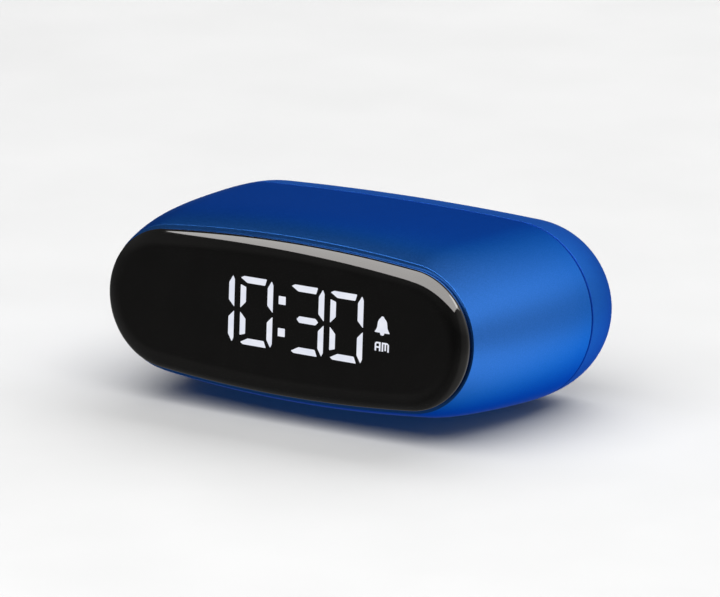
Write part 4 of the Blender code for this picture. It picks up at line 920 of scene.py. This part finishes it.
for label, x in BUTTON_X.items():
    foot, step, flange_radius = BUTTON_FLANGE
    profile = [(flange_radius - FLANGE_EDGE, foot), (flange_radius, foot + FLANGE_EDGE),
               (flange_radius, step - FLANGE_EDGE), (flange_radius - FLANGE_EDGE, step),
               (BUTTON_RADIUS, step)]
    for k in range(SHOULDER_STEPS + 1):
        angle = math.pi / 2 * k / SHOULDER_STEPS
        profile.append((BUTTON_RADIUS - SHOULDER * (1 - math.cos(angle)),
                        BUTTON_BACK - SHOULDER * (1 - math.sin(angle))))
    rim = BUTTON_RADIUS - SHOULDER
    profile += [(rim * share, BUTTON_BACK - DISH * (1 - share ** 2)) for share in DISH_SHARES]
    finished(f"{label}_cap", turned(profile, (x, CONTROL_Z), 56), black_abs, f"{label}_button",
             f"{label}_key")
    outlines = [[(x + u, CONTROL_Z + v) for u, v in outline] for outline in MARKS[label]]
    finished(f"{label}_mark", plate(outlines, MARK_FRONT, MARK_FACE, 0.04 * MM), sign_ink,
             body=f"{label}_key")
print("buttons:", len(BUTTON_X))

# %% [markdown]
# ## Things that repeat
#
# Ribs, contacts, legs, lights and small parts are one shape at many places. A small tree does them
# all: it puts a copy of a shape on every point it is given, turned by an attribute of the point,
# makes the copies real, and sets their finish.

# %% Copies tree
def on_points(tree, places, shape):
    """Puts a copy of a shape on each point, turned as the point says."""
    facing = node(tree, "FunctionNodeEulerToRotation", {"Euler": attribute(tree, "turn")})
    placed = node(tree, "GeometryNodeInstanceOnPoints", {"Points": places, "Instance": shape,
                                                         "Rotation": facing.outputs["Rotation"]})
    return placed.outputs["Instances"]


def copies_tree():
    """A tree that puts a turned copy of one shape on each point."""
    tree, given = new_tree("copies on points", ("Points", "Geometry"), ("Shape", "Object"),
                           ("Finish", "Material"))
    shape = node(tree, "GeometryNodeObjectInfo", {"Object": given["Shape"]}).outputs["Geometry"]
    return end_tree(tree, on_points(tree, given["Points"], shape), given["Finish"])


copies_on_points = copies_tree()


def copies(shape, places, finish):
    """A bmesh with a copy of a bmesh at each place, given as (x, y, z) or ((x, y, z), turn about Y)."""
    original = in_scene("original", closed(shape))
    full = [place if isinstance(place[0], tuple) else (place, 0.0) for place in places]
    guide = points([at for at, _ in full], "turn", [(0.0, about_y, 0.0) for _, about_y in full])
    result = grown(guide, copies_on_points, Shape=original, Finish=finish)
    bpy.data.objects.remove(original, do_unlink=True)
    return result


def row(count, pitch, middle, axis=0):
    """Places in a row about its middle."""
    places = []
    for k in range(count):
        at = list(middle)
        at[axis] += (k - (count - 1) / 2) * pitch
        places.append(tuple(at))
    return places


print("copies tree:", len(copies_on_points.nodes), "nodes")

# %% [markdown]
# ## The alarm switch
#
# The slider's knob has five grip ribs, so that a fingertip can push it sideways without looking.
# The knob and its plate are one moulding. The plate hides behind the rear wall and covers the slot
# at both ends of the travel. Behind it, the white lever of the switch sits in its pocket.

# %% Slider
SLIDER_REST = SLIDER_X - SLIDER_TRAVEL / 2
PLATE = (9.6 * MM, 4.8 * MM)
PLATE_DEPTHS = (48.9 * MM, 50.1 * MM)
LEVER = 1.4 * MM
LEVER_POCKET = 0.7 * MM
KNOB_TOP = 52.8 * MM
KNOB_FOOT = 49.5 * MM
KNOB_CORNER, KNOB_TOP_CORNER = 0.3 * MM, 0.32 * MM
KNOB_STEPS = 5
RIB_TOP = 53.0 * MM
RIB_COUNT = 5
RIB_PITCH = 0.78 * MM
RIB = ((KNOB_TOP - 0.2 * MM, 0.42 * MM, 1.9 * MM, 0.1 * MM),
       (RIB_TOP - 0.12 * MM, 0.42 * MM, 1.9 * MM, 0.1 * MM),
       (RIB_TOP - 0.03 * MM, 0.32 * MM, 1.8 * MM, 0.1 * MM), (RIB_TOP, 0.16 * MM, 1.64 * MM, 0.07 * MM))

middle = (SLIDER_REST, CONTROL_Z)
levels = [(KNOB_FOOT, *SLIDER_KNOB, KNOB_CORNER), (KNOB_TOP - KNOB_CORNER, *SLIDER_KNOB, KNOB_CORNER)]
for k in range(1, KNOB_STEPS + 1):
    angle = math.pi / 2 * k / KNOB_STEPS
    drawn_in = KNOB_CORNER * (1 - math.cos(angle))
    levels.append((KNOB_TOP - KNOB_CORNER * (1 - math.sin(angle)), SLIDER_KNOB[0] - 2 * drawn_in,
                   SLIDER_KNOB[1] - 2 * drawn_in, KNOB_TOP_CORNER))
moulding = combined(block(*PLATE_DEPTHS, PLATE, middle, 0.4 * MM), rounded_loft(levels, middle), "UNION")
pocket = (LEVER + 2 * GAP, LEVER + 2 * GAP, 0.1 * MM)
moulding = combined(moulding, rounded_loft([(PLATE_DEPTHS[0] - PAST, *pocket),
                                            (PLATE_DEPTHS[0] + LEVER_POCKET, *pocket)], middle))
finished("slider_knob_and_plate", moulding, black_abs, "alarm_slider", "alarm_switch")

rib_places = row(RIB_COUNT, RIB_PITCH, (SLIDER_REST, 0, CONTROL_Z))
finished("slider_grip_ribs", copies(rounded_loft(RIB, corner_steps=4), rib_places, black_abs), black_abs,
         body="alarm_switch")
print("slider ribs:", RIB_COUNT)

# %% [markdown]
# ## The charging port
#
# A drawn steel shell with a rolled lip, and inside it a black tongue with two rows of gold contacts
# at the standard pitch of half a millimetre.

# %% Port
PORT_MOUTH = 52.1 * MM
PORT_FLOOR = 46.3 * MM
PORT_WALL = 0.3 * MM
LIP_ARC_STEPS = 8
TONGUE = (6.6 * MM, 0.8 * MM)
TONGUE_DEPTHS = (46.6 * MM, 51.2 * MM)
CONTACTS = 12
CONTACT_PITCH = 0.5 * MM
CONTACT = (0.27 * MM, 0.06 * MM)
CONTACT_DEPTHS = (47.2 * MM, 50.9 * MM)

width, height = PORT_SIZE
lip_start = PORT_MOUTH - PORT_WALL / 2
levels = [(ON_BUTTON_BOARD, width, height, height / 2), (lip_start, width, height, height / 2)]
for k in range(1, LIP_ARC_STEPS):
    angle = math.pi * k / LIP_ARC_STEPS
    drawn_in = PORT_WALL * (1 - math.cos(angle))
    levels.append((PORT_MOUTH - PORT_WALL / 2 * (1 - math.sin(angle)), width - drawn_in, height - drawn_in,
                   (height - drawn_in) / 2))
inner = (width - 2 * PORT_WALL, height - 2 * PORT_WALL, height / 2 - PORT_WALL)
levels += [(lip_start, *inner), (PORT_FLOOR, *inner)]
middle = (PORT_X, CONTROL_Z)
finished("port_shell", rounded_loft(levels, middle, 10), nickel_steel, "usb_port")
finished("port_tongue", block(*TONGUE_DEPTHS, TONGUE, middle, 0.15 * MM, 0.1 * MM), black_abs,
         "usb_tongue")
contact = block(*CONTACT_DEPTHS, CONTACT, (0, 0), 0.02 * MM, 0.02 * MM)
places = [place for side in (-1, 1) for place in
          row(CONTACTS, CONTACT_PITCH, (PORT_X, 0, CONTROL_Z + side * TONGUE[1] / 2))]
finished("port_contacts", copies(contact, places, gold_plate), gold_plate)
print("port contacts:", len(places))

# %% [markdown]
# ## Screws
#
# One pan-head screw, drawn once: a turned head and shank, a thread that winds round the shank, and a
# cross recess with tapered walls. The tree makes the thread from a spiral and a small triangle,
# cuts the recess, and puts a screw on each point. Its named inputs give each kind its size.

# %% Screw tree
RIDGE_SHARE = 0.42   # the thread's ridge, in pitches


def screw_tree():
    """A tree that threads a turned blank, cuts its cross recess and puts copies on points."""
    tree, given = new_tree("pan head screws", ("Points", "Geometry"), ("Blank", "Object"),
                           ("Recess", "Object"), ("Thread radius", "Float"), ("Thread length", "Float"),
                           ("Thread start", "Float"), ("Pitch", "Float"), ("Finish", "Material"))
    blank, recess = (node(tree, "GeometryNodeObjectInfo", {"Object": given[name]}).outputs["Geometry"]
                     for name in ("Blank", "Recess"))
    body = node(tree, "GeometryNodeMeshBoolean", {"Mesh 1": blank, "Mesh 2": recess},
                operation="DIFFERENCE", solver="EXACT")
    turns = node(tree, "ShaderNodeMath", {0: given["Thread length"], 1: given["Pitch"]}, operation="DIVIDE")
    spiral = node(tree, "GeometryNodeCurveSpiral", {"Resolution": 16, "Rotations": turns.outputs[0],
                                                    "Start Radius": given["Thread radius"],
                                                    "End Radius": given["Thread radius"],
                                                    "Height": given["Thread length"]})
    ridge_size = node(tree, "ShaderNodeMath", {0: given["Pitch"], 1: RIDGE_SHARE}, operation="MULTIPLY")
    ridge = node(tree, "GeometryNodeCurvePrimitiveCircle", {"Resolution": 3,
                                                            "Radius": ridge_size.outputs[0]})
    thread = node(tree, "GeometryNodeCurveToMesh", {"Curve": spiral.outputs["Curve"],
                                                    "Profile Curve": ridge.outputs["Curve"],
                                                    "Fill Caps": True})
    lift = node(tree, "ShaderNodeCombineXYZ", {"Y": given["Thread start"]})
    wound = node(tree, "GeometryNodeTransform", {"Geometry": thread.outputs["Mesh"],
                                                 "Translation": lift.outputs["Vector"],
                                                 "Rotation": (math.pi / 2, 0, 0)})
    whole = node(tree, "GeometryNodeJoinGeometry", {"Geometry": body.outputs["Mesh"]})
    tree.links.new(wound.outputs["Geometry"], whole.inputs["Geometry"])
    copied = on_points(tree, given["Points"], whole.outputs["Geometry"])
    return end_tree(tree, copied, given["Finish"])


pan_head_screws = screw_tree()
HEAD_EDGE = 0.1 * MM
CROWN_STEPS = 8
CROWN_FOOT, RECESS_DEPTH = 0.35, 0.62    # in head heights
THREAD_DEPTH, THREAD_START = 0.35, 0.4   # in pitches
ARM_SHARE, ARM_REACH = 0.27, 1.15        # in head radii
RECESS_TAPER = (0.55, 1.1)               # across the bottom and above the head
TWIST = 0.7                              # the turn from one recess to the next, in radians


def screws(name, stands_for, places, shank, head, head_height, length, pitch, flip=False):
    """Screws whose heads rest on the places' depth, facing the rear, or the front when flipped."""
    crown = [(head * math.cos(angle), head_height * (CROWN_FOOT + (1 - CROWN_FOOT) * math.sin(angle)))
             for angle in (math.pi / 2 * k / CROWN_STEPS for k in range(CROWN_STEPS))]
    core = shank - THREAD_DEPTH * pitch
    profile = [(core * 0.3, -length), (core, -length + shank), (core, 0.0), (head - HEAD_EDGE, 0.0),
               (head, HEAD_EDGE), *crown, (head * 0.06, head_height)]
    arm, across, (low_share, top_share) = head * ARM_SHARE, head * ARM_REACH, RECESS_TAPER
    recess = bmesh.new()
    for width, height in ((arm, across), (across, arm)):
        rounded_loft([(head_height - head_height * RECESS_DEPTH, width * low_share, height * low_share,
                       arm * 0.1),
                      (head_height + 0.2 * MM, width * top_share, height * top_share, arm * 0.2)],
                     corner_steps=2, into=recess)
    guides = [in_scene("guide", closed(shape)) for shape in (turned(profile, steps=36), recess)]
    facing = math.pi if flip else 0.0
    heads = points(places, "turn", [(facing, TWIST * number, 0.0) for number in range(len(places))])
    shape = grown(heads, pan_head_screws,
                  **{"Blank": guides[0], "Recess": guides[1], "Thread radius": core, "Pitch": pitch,
                     "Thread length": length - shank - pitch, "Thread start": -THREAD_START * pitch,
                     "Finish": screw_steel})
    for guide in guides:
        bpy.data.objects.remove(guide, do_unlink=True)
    piece = finished(name, shape, screw_steel, stands_for)
    print(name, len(piece.data.polygons), "faces")


def at_corners(x, depth, z, middle=0.0):
    """Four places about a board's middle, in the order of CORNERS."""
    return [(sx * x, depth, middle + sz * z) for sx in (-1, 1) for sz in (-1, 1)]


CORNERS = [f"{across}_{height}" for across in ("left", "right") for height in ("lower", "upper")]
SMALL = (1.0 * MM, 1.9 * MM, 1.2 * MM)   # shank radius, head radius and head height
screws("cover_screws", "cover_screw_left cover_screw_right",
       [(side * COVER_SCREW_X, 50.5 * MM, 0) for side in (-1, 1)],
       1.3 * MM, 2.3 * MM, 1.6 * MM, 18.0 * MM, 0.8 * MM)
screws("button_board_screws", "button_board_screw_left button_board_screw_right",
       [(side * BUTTON_SCREW[0], 43.3 * MM, BUTTON_SCREW[1]) for side in (-1, 1)],
       *SMALL, 4.6 * MM, 0.6 * MM, flip=True)
screws("main_board_screws", " ".join(f"main_board_screw_{corner}" for corner in CORNERS),
       at_corners(23.8 * MM, 20.9 * MM, 8.8 * MM, 1 * MM), *SMALL, 4.6 * MM, 0.6 * MM)
screws("display_screws", " ".join(f"display_screw_{corner}" for corner in CORNERS),
       at_corners(33.0 * MM, 14.7 * MM, 7.5 * MM), *SMALL, 10.1 * MM, 0.6 * MM)

# %% [markdown]
# ## Parts on the boards
#
# Each chip is a moulded body with a dished dot at its first pin and two rows of bent tinned legs.
# The legs are copies of one small shape, and so are the lights and the small parts soldered around
# the chips. Few of them can be seen, but they are what makes a board read as a board.

# %% Chips
LEG_WIDTH = 0.3 * MM
LEG_THICK = 0.12 * MM
LEG_REACH = 0.8 * MM
LEG_LIFT = 0.1 * MM
LEG_TUCK = 0.05 * MM
CHIP_CORNER = 0.1 * MM
CHIP_DRAWN_IN = (0.3 * MM, 0.24 * MM, 0.4 * MM)   # at the board, at the edge of the top, on the top
CHIP_EDGE = 0.08 * MM
DOT_RADII, DOT_DEPTHS = (0.2 * MM, 0.32 * MM), (-0.06 * MM, 0.05 * MM)
DOT_INSET = 0.9 * MM


def leg_shape(reach, height):
    """A bent leg: down from the chip's side, then out along the board."""
    shape = bmesh.new()
    outline = [(0.0, height), (0.0, height - LEG_THICK), (reach * 0.42, height - LEG_THICK),
               (reach * 0.55, 0.0), (reach, 0.0), (reach, LEG_THICK), (reach * 0.62, LEG_THICK),
               (reach * 0.50, height)]
    for across in (-LEG_WIDTH / 2, LEG_WIDTH / 2):
        bmesh.ops.contextual_create(shape, geom=[shape.verts.new((across, depth, out))
                                                 for out, depth in outline])
    shape.verts.ensure_lookup_table()
    half = len(outline)
    for k in range(half):
        shape.faces.new([shape.verts[k], shape.verts[(k + 1) % half], shape.verts[half + (k + 1) % half],
                         shape.verts[half + k]])
    bmesh.ops.recalc_face_normals(shape, faces=shape.faces)
    return shape


def chip(name, stands_for, seat, size, centre, thickness, legs, pitch):
    """A chip body on a board's rear face, with legs along its upper and lower sides."""
    top = seat + thickness
    at_board, at_edge, on_top = ((size[0] - drawn_in, size[1] - drawn_in, CHIP_CORNER)
                                 for drawn_in in CHIP_DRAWN_IN)
    body = rounded_loft([(seat, *at_board), (seat + thickness / 2, *size, CHIP_CORNER),
                         (top - CHIP_EDGE, *at_edge), (top, *on_top)], centre, 4)
    dot = turned([(radius, top + depth) for radius, depth in zip(DOT_RADII, DOT_DEPTHS)],
                 (centre[0] - size[0] / 2 + DOT_INSET, centre[1] + size[1] / 2 - DOT_INSET), 20)
    finished(name, combined(body, dot), chip_epoxy, stands_for)
    out = size[1] / 2 - LEG_TUCK
    places = [(place, about_y) for side, about_y in ((1, 0.0), (-1, math.pi))
              for place in row(legs, pitch, (centre[0], seat, centre[1] + side * out))]
    leg = leg_shape(LEG_REACH, thickness / 2 - LEG_LIFT)
    finished(f"{name}_legs", copies(leg, places, tin_solder), tin_solder)
    print(name, "with", len(places), "legs")


CHIP_SEAT = 20.9 * MM
chip("controller_package", "controller_chip", CHIP_SEAT, (7 * MM, 7 * MM), (-2 * MM, -3 * MM),
     1.0 * MM, 11, 0.6 * MM)
chip("driver_package", "light_driver_chip", CHIP_SEAT, (8.6 * MM, 4 * MM), (12 * MM, -3 * MM),
     1.5 * MM, 8, 1.0 * MM)

# %% [markdown]
# ## Lights and small parts
#
# Behind every bar of the display a white LED sits on the board, at the bottom of its light well. On
# the main board, ceramic capacitors stand around the chips: a tan block between two tinned ends.

# %% Small parts
LED_SIZE = (1.1 * MM, 0.7 * MM)
LED_DEPTHS = (7.21 * MM, 7.49 * MM)
led = block(*LED_DEPTHS, LED_SIZE, (0, 0), 0.1 * MM, 0.06 * MM)
places = []
for x in digit_places:
    for outline in bars.values():
        middle = [sum(point[k] for point in outline) / len(outline) for k in (0, 1)]
        tall = max(point[1] for point in outline) - min(point[1] for point in outline) > 2 * STROKE
        at = (x + middle[0], 0.0, DISPLAY_Z + middle[1])
        places.append((at, math.pi / 2 if tall else 0.0))
places += [((DISPLAY_X, 0.0, DISPLAY_Z + side * COLON_HEIGHT), 0.0) for side in (-1, 1)]
finished("display_leds", copies(led, places, white_nylon), white_nylon)
print("lights on the board:", len(places))

MAIN_BACK = 20.6 * MM
CAPACITOR_TOP = MAIN_BACK + 0.7 * MM
CAPACITOR_BODY = (1.0 * MM, 0.74 * MM)
CAPACITOR_END = (0.34 * MM, 0.8 * MM)
CAPACITOR_END_X = 0.63 * MM
CAPACITOR_PLACES = [(x * MM, 0.0, z * MM) for x, z in
                    ((-8.4, -6.2), (-8.4, -4.4), (-8.4, -2.6), (-8.4, -0.8), (-4.5, 2.6), (-2.0, 2.6),
                     (0.5, 2.6), (5.4, -6.8), (8.2, -7.2), (11.0, -7.2), (13.8, -7.2), (18.8, -4.6),
                     (18.8, -2.8), (18.8, -1.0), (10.6, 4.4), (10.6, 6.2), (10.6, 8.0), (-15.0, -0.9),
                     (-17.5, 3.6), (-17.5, 5.4), (1.0, 6.4), (1.0, 8.2))]
middle = block(MAIN_BACK, CAPACITOR_TOP - 0.02 * MM, CAPACITOR_BODY, (0, 0), 0.05 * MM, 0.04 * MM)
ends = bmesh.new()
for side in (-1, 1):
    block(MAIN_BACK, CAPACITOR_TOP, CAPACITOR_END, (side * CAPACITOR_END_X, 0), 0.08 * MM, 0.08 * MM, ends)
for name, shape, finish in (("capacitor_bodies", middle, part_ceramic),
                            ("capacitor_ends", ends, tin_solder)):
    finished(name, copies(shape, CAPACITOR_PLACES, finish), finish)
print("capacitors:", len(CAPACITOR_PLACES))

# %% [markdown]
# ## The cell
#
# A steel can in a shrunk plastic sleeve. The sleeve folds a little way over both ends, where the
# bare can shows, and a paper ring insulates the positive cap from the can's rim.

# %% Cell
CELL_MIDDLE = (33.0 * MM, -3.0 * MM)
CELL_RADIUS = 9.2 * MM
CELL_HALF = 32.5 * MM
CELL_NUB = (2.7 * MM, 0.7 * MM)
CELL_BARE = 7.4 * MM
CAN_END = CELL_HALF - 0.1 * MM
CAN_EDGE, WRAP_EDGE = 0.2 * MM, 0.5 * MM
RING_RADII, RING_TOP = (3.4 * MM, 6.6 * MM), CELL_HALF + 0.05 * MM
RIM_ARC_STEPS = 6


def along_x(profile):
    """A turned shape laid along X on the cell's axis."""
    shape = turned(profile, steps=72)
    lay = Matrix.Translation((0, *CELL_MIDDLE)) @ Matrix.Rotation(-math.pi / 2, 4, "Z")
    bmesh.ops.transform(shape, matrix=lay, verts=shape.verts)
    return shape


def rim(radius, end, edge, sign=1):
    """A rounded edge of a turned profile, from the side of the shape to its end."""
    angles = [math.pi / 2 * k / RIM_ARC_STEPS for k in range(RIM_ARC_STEPS + 1)]
    steps = [(radius - edge * (1 - math.cos(angle)), end - sign * edge * (1 - math.sin(angle)))
             for angle in angles]
    return steps if sign > 0 else steps[::-1]


def straight(radius, ends):
    """A plain cylinder between two depths."""
    return along_x([(radius, end) for end in ends])


can_profile = [*rim(CELL_BARE, -CAN_END, CAN_EDGE, -1), *rim(CELL_BARE, CAN_END, CAN_EDGE),
               (CELL_NUB[0] + 0.3 * MM, CAN_END), (CELL_NUB[0], CELL_HALF + 0.1 * MM),
               *rim(CELL_NUB[0], CELL_HALF + CELL_NUB[1], CAN_EDGE)]
wrap_profile = [*rim(CELL_RADIUS, -CELL_HALF, WRAP_EDGE, -1), *rim(CELL_RADIUS, CELL_HALF, WRAP_EDGE)]
room = straight(CELL_BARE + 0.02 * MM, (-CELL_HALF - PAST, CELL_HALF + PAST))
finished("cell_sleeve", combined(along_x(wrap_profile), room), cell_wrap, "battery_cell")
finished("cell_can", along_x(can_profile), nickel_steel)
hole = straight(RING_RADII[0], (CELL_HALF - PAST, CELL_HALF + PAST))
finished("cell_insulator", combined(straight(RING_RADII[1], (CAN_END, RING_TOP)), hole), white_nylon)
print("cell length (mm):", round(2 * CELL_HALF / MM, 1))

# %% [markdown]
# ## Finishes of the parts that stay
#
# The boards, the carrier, connectors, cables and switches are already as fine as they need to be.
# They keep their engineering shapes and take the finishes of the real parts.

# %% Kept parts
KEPT = {tape_foam: ("lens_tape",), silicone_rubber: ("front_foot", "rear_foot"),
        printed_film_finish: ("display_film",),
        board_laminate: ("display_board", "main_board", "button_board"),
        black_abs: ("chassis", "buzzer", *(f"{label}_switch" for label in BUTTON_X)),
        nickel_steel: ("clock_crystal", "slide_switch"), ferrite_ceramic: ("charging_coil",),
        white_nylon: ("display_mask", "battery_plug", "battery_socket", "display_socket",
                      "main_display_socket", "button_socket", "main_button_socket", "slide_lever",
                      *(f"{label}_plunger" for label in BUTTON_X)),
        flat_cable: ("display_cable", "button_cable"),
        red_pvc: ("battery_lead_positive",), black_pvc: ("battery_lead_negative",)}
for finish, names in KEPT.items():
    for name in names:
        for place in bpy.data.objects[name].material_slots:
            place.material = finish
print("kept parts:", sum(len(names) for names in KEPT.values()))

# %% [markdown]
# ## Floor and light
#
# A plain pale floor and soft studio light. One large soft box hangs overhead and in front. Its
# straight edges make the clean strip on the lens's rim, and its blur makes the highlight on the
# sleeve's corner, which a small box at the right helps. The walls are dim in front, so the lens
# stays black, and brighter at the right and behind, with a darker horizon that draws a soft band
# along the sleeve's side. A last box lights only the floor behind. Neither that box nor the floor
# shows in reflections: both would wash out the dark parts.

# %% Stage
PAPER_GRAIN = 40
FLOOR_SIZE = 8.0
floor_material = grained("matt_paper_floor", ("#AEAEAE", "#B1B1B1"), (0.9, 1.0), PAPER_GRAIN)
shape = bmesh.new()
bmesh.ops.create_grid(shape, x_segments=1, y_segments=1, size=FLOOR_SIZE)
floor = finished("floor", shape, floor_material, body=None, place=Matrix.Identity(4))
floor.visible_glossy = False

WALLS = (0.77, 0.62, -0.10)
WALL_GLOW = ((-1.0, 0.13), (-0.5, 0.07), (-0.1, 0.11), (0.05, 0.24), (0.29, 0.32), (0.48, 0.44),
             (0.62, 0.52), (0.82, 0.72), (1.0, 0.78))   # (cosine to the axis, level)
UPWARD = (0.0, 0.0, 1.0)
HORIZON = ((-1.0, 1.0), (-0.40, 1.0), (-0.14, 0.60), (0.08, 0.55), (0.36, 1.0), (1.0, 1.0))
world = bpy.data.worlds.new("studio")
bpy.context.scene.world = world
world.use_nodes = True
tree = world.node_tree
direction = node(tree, "ShaderNodeTexCoord").outputs["Generated"]
glows = []
for towards, stops in ((WALLS, WALL_GLOW), (UPWARD, HORIZON)):
    near = node(tree, "ShaderNodeVectorMath", {0: direction, 1: towards}, operation="DOT_PRODUCT")
    spread = {"Value": near.outputs["Value"], "From Min": -1.0, "From Max": 1.0}
    reached = node(tree, "ShaderNodeMapRange", spread).outputs["Result"]
    ramp = node(tree, "ShaderNodeValToRGB", {"Fac": reached})
    while len(ramp.color_ramp.elements) < len(stops):
        ramp.color_ramp.elements.new(0.5)
    for element, (cosine, level) in zip(ramp.color_ramp.elements, stops):
        element.position = (cosine + 1) / 2
        element.color = (level, level, level, 1.0)
    glows.append(ramp.outputs["Color"])
both = node(tree, "ShaderNodeVectorMath", {0: glows[0], 1: glows[1]}, operation="MULTIPLY")
tree.links.new(both.outputs["Vector"], tree.nodes["Background"].inputs["Color"])

# name, place, what it faces, size, watts, whether it shows in reflections
LIGHTS = (("overhead_box", (0.07, -0.86, 1.0), (0.07, -0.86, 0.0), (1.88, 1.40), 34.0, True),
          ("corner_box", (0.64, -0.35, 0.77), (0.0, 0.0, 0.02), (0.35, 0.35), 1.3, True),
          ("rear_fill", (0.0, 1.3, 1.2), (0.0, 1.3, 0.0), (2.5, 1.8), 56.0, False))
for name, at, towards, size, power, in_reflections in LIGHTS:
    data = bpy.data.lights.new(name, "AREA")
    data.shape = "RECTANGLE"
    data.size, data.size_y = size
    data.energy = power
    light = in_scene(name, data)
    light.location = at
    light.visible_glossy = in_reflections
    light.rotation_euler = (Vector(at) - Vector(towards)).to_track_quat("Z", "Y").to_euler()
bpy.context.scene.view_settings.view_transform = "Standard"
print("lights:", len(LIGHTS))
